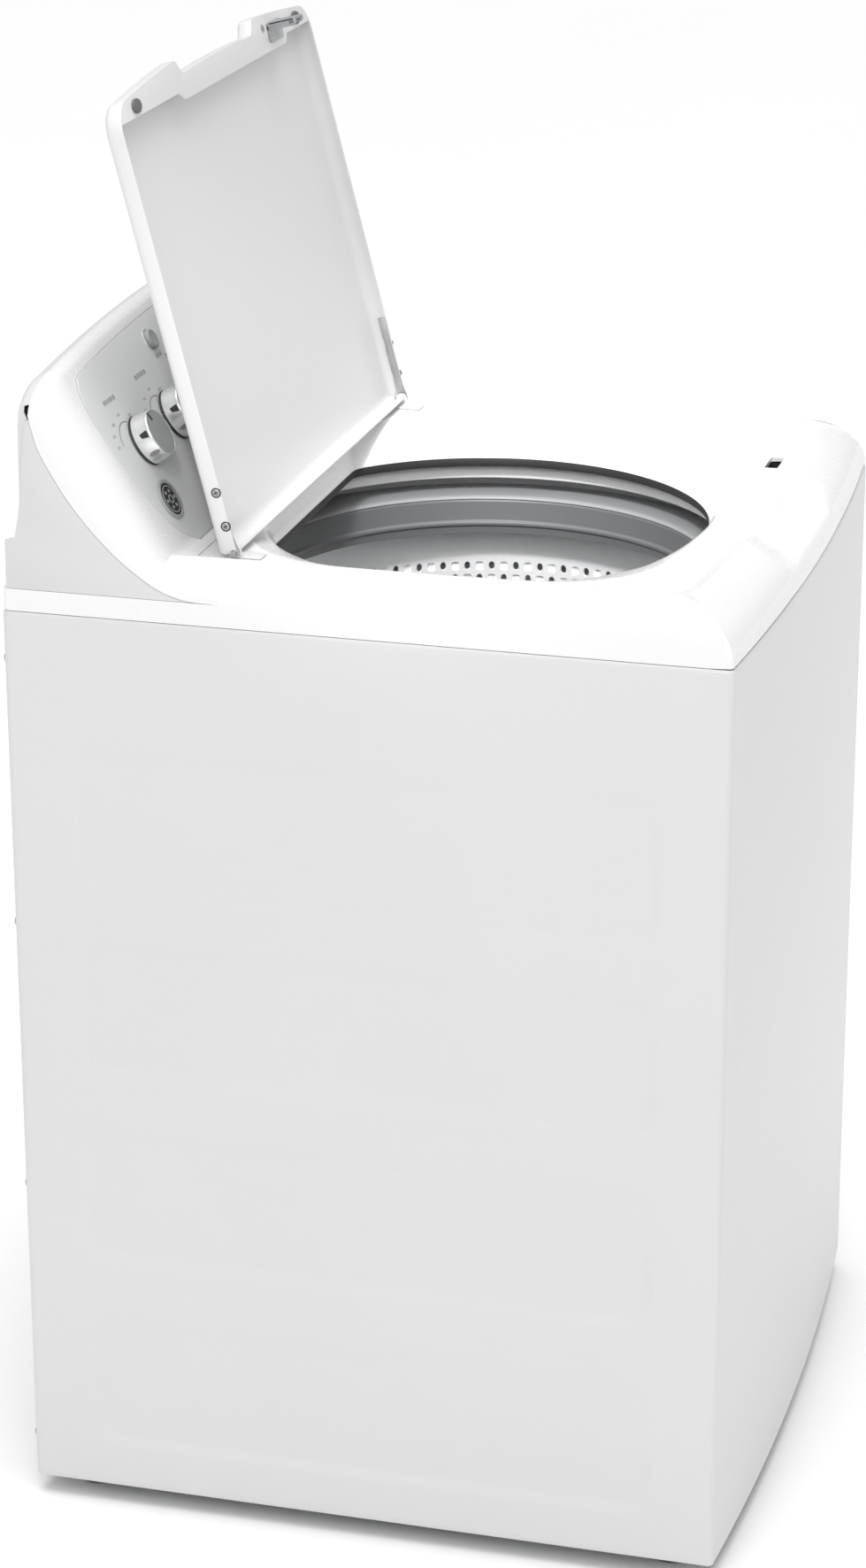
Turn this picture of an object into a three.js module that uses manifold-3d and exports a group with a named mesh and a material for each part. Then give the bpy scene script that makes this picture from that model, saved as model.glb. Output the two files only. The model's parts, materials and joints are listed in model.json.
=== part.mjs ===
// Top load washing machine with a deck-height lid and a raised control console.
// Millimetres, +Z up. The front faces -Y and the right side, seen from the front, faces +X.
// The origin is on the floor, under the middle of the machine. The lid is modelled open.

import * as THREE from 'three';
import { mergeVertices } from 'three/addons/utils/BufferGeometryUtils.js';
import Module from 'manifold-3d';

const wasm = await Module();
wasm.setup();

// ---------------------------------------------------------------- driving dimensions

const GAP = 0.3; // between touching pieces

const HALF_WIDTH = 343; // 27 in wide
const SIDE_Y = 337; // side panels run from -SIDE_Y to +SIDE_Y
const FRONT_BOW = 14; // the front panel bulges this far at its middle
const CORNER_RADIUS = 6;
const CABINET_BASE_Z = 20;
const CABINET_TOP_Z = 908;
const SHEET = 1.2; // cabinet steel

const PRESSED_LENGTH = 552; // pressed panels on each side
const PRESSED_HEIGHT = 136;
const PRESSED_DEPTH = 2.5;
const PRESSED_RADIUS = 27;
const PRESSED_BOTTOMS = [67, 263, 456, 648];

const COVER_SKIN = 2.5; // top cover wall
const SEAT_Z = 930; // the console stands on this level
const DECK_Z = 955; // floor of the lid recess
const CREST_Z = 961; // top of the rim round the recess
const CREST_INSET = 45;
const RECESS_HALF_WIDTH = 290;
const RECESS_FRONT_Y = -281; // at its corners
const RECESS_RADIUS = 28;
const FRONT_BULGE = 16; // the fronts of the recess and of the lid bow forward by this much
const LIP_Z = 926; // lower lip of the tub opening
const LIP_BOTTOM_Z = 916;

const AXIS_Y = -25; // the wash axis stands at x = 0, y = AXIS_Y
const OPENING_RADIUS = 216;
const OPENING_REAR_Y = 143; // straight rear edge of the opening
const SLOT = { x: 160, y: -277, length: 38, width: 13 };

const CONSOLE_FRONT_Y = 170;
const PANEL_FOOT = { y: 185, z: 954 }; // foot of the leaning control panel
const PANEL_LEAN = Math.atan2(162, 97); // above horizontal
const BEZEL_SKIN = 4;
const ROLL_START_X = 296; // outside this the bezel rolls round to the sides

const HINGE = { y: 134.5, z: 961.5 };
const HINGE_PIN_RADIUS = 2.6;
const OPEN_ANGLE = THREE.MathUtils.degToRad(104.5);
const LID_HALF_WIDTH = 286;
const LID_LENGTH = 411; // hinge to the front corners
const LID_TAIL = 1; // behind the hinge
const LID_TOP = 14.2; // above the hinge when closed
const LID_LIP = -3.2; // underside, above the hinge when closed
const LID_RADIUS = 25;
const LID_SKIN = 1.2;
const NOTCH_HALF_WIDTH = 103;
const NOTCH_DEPTH = 15;

const TUB_RADIUS = 278;
const TUB_SKIN = 3;
const TUB_BOTTOM_Z = 300;
const TUB_TOP_Z = 888;
const BASKET_RADIUS = 256;
const BASKET_SKIN = 1.6;
const BASKET_FLOOR_Z = 352;
const BASKET_TOP_Z = 843;
const BALANCE_TOP_Z = 884;
const AGITATOR_TOP_Z = 838;

const ROD_POSITIONS = { // hanging rods, one in each corner
	front_left: [-262, -252], front_right: [262, -252], rear_left: [-262, 212], rear_right: [262, 212],
};
const ROD_RADIUS = 3.5;
const ROD_SEAT_Z = 880; // gusset that the rod's ball rests on
const ROD_CUP_Z = 342; // top of the cup at the rod's lower end
const LUG_BOTTOM_Z = 420; // underside of the tub's lug

const FEET = {
	front_left: [-295, -290], front_right: [295, -290], rear_left: [-295, 290], rear_right: [295, 290],
};

const FOOT_SCREW_RADIUS = 6;
const NUT_TOP_Z = 44; // welded nut that the foot's screw runs in

const MOTOR = { x: 0, y: 150 };
const PUMP = { x: 120, y: - 150 };
const MOTOR_PULLEY_RADIUS = 22;
const MOTOR_SHAFT_RADIUS = 8;
const DRIVE_PULLEY_RADIUS = 88;
const SHAFT_RADIUS = 12; // agitator shaft
const BELT_Z = 128;

const ROUND = 32; // facets round the large rings
const FACETS = 12; // facets round small turned pieces

// ---------------------------------------------------------------- materials

function finish( color, roughness, metalness = 0 ) {

	return new THREE.MeshStandardMaterial( { color, roughness, metalness } );

}

const MATERIALS = {
	paintedWhite: finish( 0xececec, 0.4 ),
	glossWhite: finish( 0xf4f4f4, 0.25 ),
	panelSilver: finish( 0xc4c6c8, 0.45, 0.3 ),
	capGrey: finish( 0xe2e3e4, 0.45 ),
	chrome: finish( 0xc8cacc, 0.2, 1 ),
	stainless: finish( 0xbfc1c3, 0.3, 1 ),
	zinc: finish( 0x9fa2a5, 0.45, 1 ),
	plasticGrey: finish( 0x8b8d90, 0.5 ),
	plasticLight: finish( 0xd6d8da, 0.5 ),
	plasticDark: finish( 0x2e2f31, 0.6 ),
	rubber: finish( 0x55575a, 0.85 ),
	castAluminium: finish( 0xa7a9ab, 0.5, 1 ),
};

// ---------------------------------------------------------------- geometry helpers

// Triangles as a closed solid, turned the right way out.
function fromTriangles( positions, triangles ) {

	let volume = 0;
	const a = new THREE.Vector3(), b = new THREE.Vector3(), c = new THREE.Vector3();
	for ( let t = 0; t < triangles.length; t += 3 ) {

		a.fromArray( positions, 3 * triangles[ t ] );
		b.fromArray( positions, 3 * triangles[ t + 1 ] );
		c.fromArray( positions, 3 * triangles[ t + 2 ] );
		volume += a.dot( b.cross( c ) );

	}

	if ( volume < 0 ) {

		for ( let t = 0; t < triangles.length; t += 3 ) {

			[ triangles[ t + 1 ], triangles[ t + 2 ] ] = [ triangles[ t + 2 ], triangles[ t + 1 ] ];

		}

	}

	return new wasm.Manifold( new wasm.Mesh( {
		numProp: 3,
		vertProperties: Float32Array.from( positions ),
		triVerts: Uint32Array.from( triangles ),
	} ) );

}

// A three.js geometry as a solid.
function solid( geometry ) {

	const bare = new THREE.BufferGeometry();
	bare.setAttribute( 'position', geometry.getAttribute( 'position' ) );
	if ( geometry.index ) bare.setIndex( geometry.index );
	const merged = mergeVertices( bare, 1e-3 );
	const index = merged.index.array;
	const triangles = [];
	for ( let t = 0; t < index.length; t += 3 ) {

		const corners = [ index[ t ], index[ t + 1 ], index[ t + 2 ] ];
		if ( new Set( corners ).size === 3 ) triangles.push( ...corners );

	}

	return fromTriangles( merged.attributes.position.array, triangles );

}

function join( first, ...others ) {

	return others.reduce( ( sum, other ) => sum.add( other ), first );

}

function cut( body, ...tools ) {

	return tools.reduce( ( rest, tool ) => rest.subtract( tool ), body );

}

function toGeometry( body ) {

	const { vertProperties, triVerts } = body.getMesh();
	const geometry = new THREE.BufferGeometry();
	geometry.setAttribute( 'position', new THREE.BufferAttribute( Float32Array.from( vertProperties ), 3 ) );
	geometry.setIndex( Array.from( triVerts ) );
	return geometry;

}

function block( x0, x1, y0, y1, z0, z1 ) {

	const geometry = new THREE.BoxGeometry( x1 - x0, y1 - y0, z1 - z0 );
	return solid( geometry.translate( ( x0 + x1 ) / 2, ( y0 + y1 ) / 2, ( z0 + z1 ) / 2 ) );

}

// A straight round bar from one point to another.
function bar( from, to, radius, facets = FACETS, endRadius = radius ) {

	const start = new THREE.Vector3( ...from ), end = new THREE.Vector3( ...to );
	const along = end.clone().sub( start );
	const geometry = new THREE.CylinderGeometry( endRadius, radius, along.length(), facets );
	const turn = new THREE.Quaternion().setFromUnitVectors(
		new THREE.Vector3( 0, 1, 0 ), along.clone().normalize() );
	geometry.applyQuaternion( turn );
	const middle = start.add( end ).multiplyScalar( 0.5 );
	return solid( geometry.translate( middle.x, middle.y, middle.z ) );

}

// A turned solid: [radius, z] points, closed on the axis or on themselves, about a vertical axis at x, y.
function turned( profile, x = 0, y = AXIS_Y, facets = ROUND ) {

	const points = profile.map( ( [ radius, z ] ) => new THREE.Vector2( radius, z ) );
	const onAxis = profile[ 0 ][ 0 ] === 0;
	if ( ! onAxis ) points.push( points[ 0 ].clone() );
	const geometry = new THREE.LatheGeometry( points, facets ).rotateX( Math.PI / 2 );
	return solid( geometry.translate( x, y, 0 ) );

}

// An upright prism over an outline of [x, y] points.
function prism( outline, z0, z1, holes = [] ) {

	const toVector = ( [ x, y ] ) => new THREE.Vector2( x, y );
	const shape = new THREE.Shape( outline.map( toVector ) );
	shape.holes = holes.map( ( hole ) => new THREE.Path( hole.map( toVector ) ) );
	const geometry = new THREE.ExtrudeGeometry( shape, { depth: z1 - z0, bevelEnabled: false } );
	return solid( geometry.translate( 0, 0, z0 ) );

}

// A prism over an outline of [y, z] points, from x0 to x1.
function sidePrism( outline, x0, x1 ) {

	const shape = new THREE.Shape( outline.map( ( [ y, z ] ) => new THREE.Vector2( y, z ) ) );
	const geometry = new THREE.ExtrudeGeometry( shape, { depth: x1 - x0, bevelEnabled: false } );
	geometry.rotateX( Math.PI / 2 ).rotateZ( Math.PI / 2 );
	return solid( geometry.translate( x0, 0, 0 ) );

}

// A skin through closed rings of [x, y, z] points. A wrapped loft joins its last ring to its first;
// any other is closed by flat caps.
function loft( rings, wrapped = false ) {

	const count = rings[ 0 ].length;
	const triangles = [];
	const at = ( ring, point ) => ( ring % rings.length ) * count + ( point % count );
	const steps = wrapped ? rings.length : rings.length - 1;
	for ( let ring = 0; ring < steps; ring ++ ) {

		for ( let point = 0; point < count; point ++ ) {

			const a = at( ring, point ), b = at( ring, point + 1 );
			const c = at( ring + 1, point + 1 ), d = at( ring + 1, point );
			triangles.push( a, b, c, a, c, d );

		}

	}

	const cap = ( ring, facesOn ) => {

		const flat = rings[ ring ].map( ( [ x, y ] ) => new THREE.Vector2( x, y ) );
		const along = THREE.ShapeUtils.area( flat ) > 0;
		for ( const [ a, b, c ] of THREE.ShapeUtils.triangulateShape( flat, [] ) ) {

			const same = THREE.ShapeUtils.area( [ flat[ a ], flat[ b ], flat[ c ] ] ) > 0 === along;
			triangles.push( at( ring, a ), ...( same === facesOn ? [ at( ring, b ), at( ring, c ) ]
				: [ at( ring, c ), at( ring, b ) ] ) );

		}

	};

	if ( ! wrapped ) {

		cap( 0, false );
		cap( rings.length - 1, true );

	}

	return fromTriangles( rings.flat( 2 ), triangles );

}

// A shell of even thickness behind an open grid of THREE.Vector3 rows. Thickness goes against the
// normal given by row direction x column direction.
function sheet( grid, thickness ) {

	const rows = grid.length, columns = grid[ 0 ].length;
	const normalAt = ( i, j ) => {

		const alongRow = grid[ i ][ Math.min( j + 1, columns - 1 ) ].clone();
		alongRow.sub( grid[ i ][ Math.max( j - 1, 0 ) ] );
		const across = grid[ Math.min( i + 1, rows - 1 ) ][ j ].clone();
		across.sub( grid[ Math.max( i - 1, 0 ) ][ j ] );
		return across.cross( alongRow ).normalize();

	};

	const positions = [];
	grid.forEach( ( row ) => row.forEach( ( point ) => positions.push( point.x, point.y, point.z ) ) );
	grid.forEach( ( row, i ) => row.forEach( ( point, j ) => {

		const behind = point.clone().addScaledVector( normalAt( i, j ), - thickness );
		positions.push( behind.x, behind.y, behind.z );

	} ) );

	const front = ( i, j ) => i * columns + j;
	const back = ( i, j ) => rows * columns + front( i, j );
	const triangles = [];
	const quad = ( a, b, c, d ) => triangles.push( a, b, c, a, c, d );
	for ( let i = 0; i < rows - 1; i ++ ) {

		for ( let j = 0; j < columns - 1; j ++ ) {

			quad( front( i, j ), front( i + 1, j ), front( i + 1, j + 1 ), front( i, j + 1 ) );
			quad( back( i, j ), back( i, j + 1 ), back( i + 1, j + 1 ), back( i + 1, j ) );

		}

		quad( front( i, 0 ), back( i, 0 ), back( i + 1, 0 ), front( i + 1, 0 ) );
		const last = columns - 1;
		quad( front( i, last ), front( i + 1, last ), back( i + 1, last ), back( i, last ) );

	}

	for ( let j = 0; j < columns - 1; j ++ ) {

		quad( front( 0, j ), front( 0, j + 1 ), back( 0, j + 1 ), back( 0, j ) );
		const last = rows - 1;
		quad( front( last, j ), back( last, j ), back( last, j + 1 ), front( last, j + 1 ) );

	}

	return fromTriangles( positions, triangles );

}

// Points along an arc, angles in degrees.
function arc( cx, cy, radius, from, to, steps ) {

	return Array.from( { length: steps + 1 }, ( _, i ) => {

		const angle = THREE.MathUtils.degToRad( from + ( to - from ) * i / steps );
		return [ cx + radius * Math.cos( angle ), cy + radius * Math.sin( angle ) ];

	} );

}

function roundedRectangle( x0, x1, y0, y1, radius, steps = 5 ) {

	return [
		...arc( x1 - radius, y0 + radius, radius, - 90, 0, steps ),
		...arc( x1 - radius, y1 - radius, radius, 0, 90, steps ),
		...arc( x0 + radius, y1 - radius, radius, 90, 180, steps ),
		...arc( x0 + radius, y0 + radius, radius, 180, 270, steps ),
	];

}

const clamp01 = ( value ) => Math.min( Math.max( value, 0 ), 1 );
const mix = ( a, b, t ) => a + ( b - a ) * t;

// ---------------------------------------------------------------- the model

const washer = new THREE.Group();

function place( name, body, material, parent = washer ) {

	const mesh = new THREE.Mesh( toGeometry( body ), material );
	mesh.name = name;
	parent.add( mesh );
	return mesh;

}

// ---------------------------------------------------------------- cabinet

const frontY = ( x, inset = 0 ) => {

	const half = HALF_WIDTH - inset;
	return - SIDE_Y + inset - FRONT_BOW * ( 1 - ( x / half ) ** 2 );

};

// The cabinet's plan outline, counter-clockwise from the rear right corner.
function cabinetOutline( inset = 0, steps = 3 ) {

	const half = HALF_WIDTH - inset, rear = SIDE_Y - inset;
	const radius = Math.max( CORNER_RADIUS - inset, 1 );
	const front = [];
	for ( let i = - 5; i <= 5; i ++ ) {

		const x = ( half - 1.2 * radius ) * i / 5;
		front.push( [ x, frontY( x, inset ) ] );

	}

	return [
		...arc( half - radius, rear - radius, radius, 0, 90, steps ),
		...arc( - half + radius, rear - radius, radius, 90, 180, steps ),
		...arc( - half + radius, - SIDE_Y + inset + radius - 1, radius, 180, 250, steps ),
		...front,
		...arc( half - radius, - SIDE_Y + inset + radius - 1, radius, 290, 360, steps ),
	];

}

// The stamping of one pressed panel: a tapered pocket outside and its bulge inside.
function pressing( side, bottom, grow, depth ) {

	const taper = 4;
	const ring = ( x, inset ) => roundedRectangle(
		- PRESSED_LENGTH / 2 - grow + inset, PRESSED_LENGTH / 2 + grow - inset,
		bottom - grow + inset, bottom + PRESSED_HEIGHT + grow - inset, PRESSED_RADIUS + grow - inset, 2,
	).map( ( [ y, z ] ) => [ y, z, side * x ] );
	const body = loft( [
		ring( HALF_WIDTH + 1, 0 ), ring( HALF_WIDTH, 0 ), ring( HALF_WIDTH - depth, taper ) ] );
	return body.transform( [ 0, 1, 0, 0, 0, 0, 1, 0, 1, 0, 0, 0, 0, 0, 0, 1 ] );

}

function cabinetShell() {

	const outer = cabinetOutline(), inner = cabinetOutline( SHEET ), turnedIn = cabinetOutline( 16 );
	const rearFlange = 22;
	const rearOpening = block( - HALF_WIDTH + rearFlange, HALF_WIDTH - rearFlange, 300, 400,
		CABINET_BASE_Z - 1, CABINET_TOP_Z + 1 );
	const wall = prism( outer, CABINET_BASE_Z, CABINET_TOP_Z, [ inner ] );
	const bottomFlange = prism( outer, CABINET_BASE_Z, CABINET_BASE_Z + SHEET, [ turnedIn ] );
	const topFlange = prism( outer, CABINET_TOP_Z - SHEET, CABINET_TOP_Z, [ turnedIn ] );
	let shell = cut( join( wall, bottomFlange, topFlange ), rearOpening );
	for ( const side of [ - 1, 1 ] ) {

		for ( const bottom of PRESSED_BOTTOMS ) {

			shell = cut( join( shell, pressing( side, bottom, SHEET, PRESSED_DEPTH + SHEET ).intersect(
				block( - HALF_WIDTH, HALF_WIDTH, - 400, 400, 0, 1000 ) ) ),
			pressing( side, bottom, 0, PRESSED_DEPTH ) );

		}

	}

	// Corner gussets carry the balls of the hanging rods.
	for ( const [ x, y ] of Object.values( ROD_POSITIONS ) ) {

		const sx = Math.sign( x ), sy = Math.sign( y );
		const edgeX = sx * ( HALF_WIDTH - SHEET / 2 ), edgeY = sy < 0 ? - SIDE_Y + SHEET / 2 : SIDE_Y - 8;
		const reach = [ [ edgeX, sy * 175 ], [ edgeX, edgeY ], [ sx * 200, edgeY ], [ sx * 222, sy * 225 ] ];
		const gusset = prism( reach, ROD_SEAT_Z - 3, ROD_SEAT_Z );
		shell = join( shell, cut( gusset, bar( [ x, y, ROD_SEAT_Z - 5 ], [ x, y, ROD_SEAT_Z + 5 ], 6 ) ) );

	}

	return shell;

}

place( 'cabinet_shell', cabinetShell(), MATERIALS.paintedWhite );

// Rear panel, with two pressed fields and the ports for the drain, the inlets and the cord.
const DRAIN_PORT = { x: - 215, z: 775 };
const INLET_PORT = { x: 150, z: 840 };
const CORD_PORT = { x: - 60, z: 865 };
const PANEL_REAR_Y = SIDE_Y - SHEET - GAP; // outer face of the rear panel

function rearPanel() {

	const rear = PANEL_REAR_Y;
	const edge = HALF_WIDTH - SHEET - 6.5;
	let panel = block( - edge, edge, rear - SHEET, rear, 24, CABINET_TOP_Z - SHEET - GAP );
	for ( const x of [ - 160, 160 ] ) {

		const field = ( grow ) => roundedRectangle(
			x - 110 - grow, x + 110 + grow, 90 - grow, 690 + grow, 20 + grow, 3 );
		const upright = ( outline, y0, y1 ) => prism( outline, - y1, - y0 ).rotate( [ 90, 0, 0 ] );
		panel = join( panel, upright( field( SHEET ), rear - 4 - SHEET, rear - SHEET / 2 ) );
		panel = cut( panel, upright( field( 0 ), rear - 4, rear + 1 ) );

	}

	const hole = ( { x, z }, radius ) => bar( [ x, rear - 10, z ], [ x, rear + 10, z ], radius, FACETS );
	const inlet = block( INLET_PORT.x - 45, INLET_PORT.x + 45, rear - 10, rear + 10,
		INLET_PORT.z - 18, INLET_PORT.z + 18 );
	return cut( panel, hole( DRAIN_PORT, 20.3 ), hole( CORD_PORT, 11.3 ), inlet );

}

place( 'rear_panel', rearPanel(), MATERIALS.zinc );

// Base frame: an angle-section ring on the cabinet's lower flange, with a plate over each foot.
function baseFrame() {

	const low = CABINET_BASE_Z + SHEET + GAP, half = HALF_WIDTH - SHEET - 3;
	const front = - SIDE_Y + 4, rear = SIDE_Y - SHEET - 6;
	const outline = ( inset ) => roundedRectangle(
		- half + inset, half - inset, front + inset, rear - inset, 8, 2 );
	let frame = join( prism( outline( 0 ), low, low + 2.5, [ outline( 38 ) ] ),
		prism( outline( 0 ), low, 64, [ outline( 2.5 ) ] ) );
	for ( const [ x, y ] of Object.values( FEET ) ) {

		const side = Math.sign( x );
		const reachX = [ side * ( half - 85 ), side * ( half - 1 ) ].sort( ( a, b ) => a - b );
		const plate = block( ...reachX, y - 44, y + 41, low, low + 4 );
		frame = join( frame, plate, bar( [ x, y, low ], [ x, y, NUT_TOP_Z ], 11 ) );
		frame = cut( frame, bar( [ x, y, 0 ], [ x, y, 60 ], FOOT_SCREW_RADIUS + GAP ) );

	}

	return frame;

}

place( 'base_frame', baseFrame(), MATERIALS.zinc );

for ( const [ corner, [ x, y ] ] of Object.entries( FEET ) ) {

	const foot = turned( [ [ 0, 0 ], [ 19, 0 ], [ 20, 2 ], [ 18, 8 ], [ 9, 12 ], [ 9, 18 ],
		[ FOOT_SCREW_RADIUS, 18 ], [ FOOT_SCREW_RADIUS, 58 ], [ 0, 58 ] ], x, y, FACETS );
	place( `levelling_foot_${ corner }`, foot, MATERIALS.plasticDark );

}

// ---------------------------------------------------------------- top cover

const HUB = [ 0, AXIS_Y ]; // every ring of the cover is cut by the same spokes from here

// Where a spoke from the hub meets an outline.
function spokePoint( outline, angle ) {

	const dx = Math.cos( angle ), dy = Math.sin( angle );
	let reach = 0;
	outline.forEach( ( [ x0, y0 ], i ) => {

		const [ x1, y1 ] = outline[ ( i + 1 ) % outline.length ];
		const ax = x0 - HUB[ 0 ], ay = y0 - HUB[ 1 ], ex = x1 - x0, ey = y1 - y0;
		const det = ex * dy - ey * dx;
		if ( Math.abs( det ) < 1e-9 ) return;
		const along = ( ex * ay - ey * ax ) / det;
		const share = ( dx * ay - dy * ax ) / det;
		if ( share >= - 1e-9 && share <= 1 + 1e-9 ) reach = Math.max( reach, along );

	} );
	return [ HUB[ 0 ] + dx * reach, HUB[ 1 ] + dy * reach ];

}

// The D-shaped opening: a circle about the wash axis with a straight rear edge.
function openingOutline( grow = 0 ) {

	const radius = OPENING_RADIUS + grow, rear = OPENING_REAR_Y + grow - AXIS_Y;
	const corner = 22 + grow;
	const cornerX = Math.sqrt( ( radius - corner ) ** 2 - ( rear - corner ) ** 2 );
	const cornerAngle = THREE.MathUtils.radToDeg( Math.atan2( rear - corner, cornerX ) );
	return [
		...arc( cornerX, AXIS_Y + rear - corner, corner, cornerAngle, 90, 4 ),
		...arc( - cornerX, AXIS_Y + rear - corner, corner, 90, 180 - cornerAngle, 4 ),
		...arc( 0, AXIS_Y, radius, 180 - cornerAngle, 360 + cornerAngle, 60 ).slice( 1, - 1 ),
	];

}

// Bows the front of a plan outline forward, most at its middle; y below frontStart counts as the front.
function bulged( outline, halfWidth, frontStart ) {

	return outline.map( ( [ x, y ] ) =>
		[ x, y < frontStart ? y - FRONT_BULGE * ( 1 - ( x / halfWidth ) ** 2 ) : y ] );

}

const recessOutline = ( inset ) => bulged( [
	...roundedRectangle( - RECESS_HALF_WIDTH + inset, RECESS_HALF_WIDTH - inset, RECESS_FRONT_Y + inset,
		215 - inset, RECESS_RADIUS - inset / 2, 4 ),
	...[ - 180, - 90, 0, 90, 180 ].map( ( x ) => [ x, RECESS_FRONT_Y + inset ] ),
], RECESS_HALF_WIDTH, - 200 );

// The upper edge of the dish that falls from the deck to the opening.
const dishOutline = roundedRectangle( - 284, 284, - 262, 158, 118, 7 );

function spokes() {

	const angles = Array.from( { length: 40 }, ( _, i ) => 2 * Math.PI * ( i + 0.5 ) / 40 );
	const corner = HALF_WIDTH - CORNER_RADIUS * 0.3;
	for ( const y of [ SIDE_Y - CORNER_RADIUS * 0.3, - SIDE_Y + CORNER_RADIUS * 0.3 ] ) {

		for ( const x of [ - corner, corner ] ) {

			const middle = Math.atan2( y - AXIS_Y, x );
			angles.push( middle - 0.012, middle, middle + 0.012 );

		}

	}

	const full = 2 * Math.PI;
	return angles.map( ( angle ) => ( angle + full ) % full ).sort( ( a, b ) => a - b )
		.filter( ( angle, i, all ) => i === 0 || angle - all[ i - 1 ] > 0.004 );

}

// How much a point of the cabinet's outline at y belongs to the front edge, 0 to 1.
const frontShare = ( y ) => clamp01( ( - y - 322 ) / 12 );

// A scoop in the front edge lets fingers under the lid's notch: how much a point at x belongs to it, 0 to 1.
const SCOOP_HALF_WIDTH = 128;

function scoopShare( x ) {

	const t = clamp01( ( 1 - Math.abs( x ) / SCOOP_HALF_WIDTH ) / 0.4 );
	return t * t * ( 3 - 2 * t );

}

// Outside of the cover, from the seam over the crest and down into the opening, then the inside back.
function coverRings() {

	const angles = spokes();
	const edge = ( inset, sideZ, frontZ, scoopZ, skin = 0 ) => angles.map( ( angle ) => {

		const outerY = spokePoint( cabinetOutline(), angle )[ 1 ];
		const [ x, y ] = spokePoint( cabinetOutline( inset + skin ), angle );
		return [ x, y, mix( sideZ, mix( frontZ, scoopZ, scoopShare( x ) ), frontShare( outerY ) ) ];

	} );
	const crest = ( outline, z, scoopZ ) => angles.map( ( angle ) => {

		const [ x, y ] = spokePoint( outline, angle );
		const front = clamp01( ( - y - 230 ) / 50 );
		return [ x, y, mix( z, mix( z - 2.4, scoopZ, scoopShare( x ) ), front ) ];

	} );
	const flat = ( outline, z ) => angles.map( ( angle ) => [ ...spokePoint( outline, angle ), z ] );
	const dish = ( share, z ) => angles.map( ( angle ) => {

		const [ x0, y0 ] = spokePoint( dishOutline, angle );
		const [ x1, y1 ] = spokePoint( openingOutline(), angle );
		return [ mix( x0, x1, share ), mix( y0, y1, share ), z ];

	} );
	return [
		edge( 0, CABINET_TOP_Z + GAP, CABINET_TOP_Z + GAP, CABINET_TOP_Z + GAP ),
		edge( 0, 931, 917, 925 ),
		edge( 3, 941, 925.5, 932.5 ),
		edge( 12, 951, 938, 937 ),
		edge( 27, 958, 949.5, 942 ),
		edge( CREST_INSET - 4, CREST_Z, CREST_Z - 4, 949 ),
		crest( recessOutline( - 3 ), CREST_Z - 1, DECK_Z + 0.3 ),
		flat( recessOutline( 0 ), DECK_Z ),
		dish( 0, DECK_Z - 0.5 ),
		dish( 0.3, DECK_Z - 6 ),
		dish( 0.72, LIP_Z + 9 ),
		dish( 0.94, LIP_Z + 2 ),
		dish( 1, LIP_Z - 2 ),
		flat( openingOutline(), LIP_BOTTOM_Z ),
		flat( openingOutline( COVER_SKIN ), LIP_BOTTOM_Z ),
		flat( openingOutline( COVER_SKIN ), LIP_Z - 2 ),
		dish( 0.66, LIP_Z + 8 ),
		dish( 0.2, DECK_Z - COVER_SKIN - 4 ),
		flat( recessOutline( - COVER_SKIN ), DECK_Z - COVER_SKIN ),
		crest( recessOutline( - COVER_SKIN - 3 ), CREST_Z - COVER_SKIN - 2, DECK_Z - COVER_SKIN - 1 ),
		edge( 27, 954.5, 945.5, 938, 2 ),
		edge( 12, 947, 933.5, 932.5, 3 ),
		edge( 0, 931, 917, 925, COVER_SKIN ),
		edge( 0, CABINET_TOP_Z + GAP, CABINET_TOP_Z + GAP, CABINET_TOP_Z + GAP, COVER_SKIN ),
	];

}

// ---------------------------------------------------------------- console outside

// Section of the console's front at its middle and at its ends, [y, z], from the deck up and over the top.
const leanY = Math.cos( PANEL_LEAN ), leanZ = Math.sin( PANEL_LEAN );
const onPanel = ( up ) => [ PANEL_FOOT.y + up * leanY, PANEL_FOOT.z + up * leanZ ];

const MIDDLE_SECTION = [
	[ CONSOLE_FRONT_Y, 955.6 ], [ 178, 956.4 ], [ 185.5, 958.5 ], onPanel( 14 ), onPanel( 50 ), onPanel( 90 ),
	onPanel( 130 ), onPanel( 170 ), onPanel( 203 ), [ 295, 1134.5 ], [ 301, 1136.5 ], [ 306, 1136 ],
];
const END_SECTION = [
	[ 132, 930.4 ], [ 161, 931.5 ], [ 184, 938 ], [ 203, 949 ], [ 228, 968.5 ], [ 251, 992 ],
	[ 271, 1017 ], [ 288, 1044 ], [ 298, 1063 ], [ 303, 1080 ], [ 305, 1088 ], [ 306, 1093 ],
];
const ARCH_FALL = 15; // the top edge is this much lower where the bezel starts to roll round

function consolePoint( x, step ) {

	const roll = clamp01( ( Math.abs( x ) - ROLL_START_X ) / ( HALF_WIDTH - ROLL_START_X ) );
	const share = 1 - Math.sqrt( 1 - roll * roll );
	const fall = ARCH_FALL * Math.min( ( x / ROLL_START_X ) ** 2, 1 ) * clamp01( ( step - 5 ) / 3 );
	const [ middleY, middleZ ] = MIDDLE_SECTION[ step ], [ endY, endZ ] = END_SECTION[ step ];
	return new THREE.Vector3( x, mix( middleY - fall * leanY * 0.6, endY, share ),
		mix( middleZ - fall * leanZ, endZ, share ) );

}

function consoleColumns() {

	const roll = [ 90, 68, 46, 24, 0 ].map( ( angle ) =>
		ROLL_START_X + ( HALF_WIDTH - ROLL_START_X ) * Math.sin( THREE.MathUtils.degToRad( angle ) ) );
	const right = [ ...roll, 190, 90 ];
	return [ ...right.map( ( x ) => - x ), 0, ...right.reverse() ];

}

const consoleGrid = consoleColumns().map( ( x ) =>
	MIDDLE_SECTION.map( ( _, step ) => consolePoint( x, step ) ) );

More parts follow.
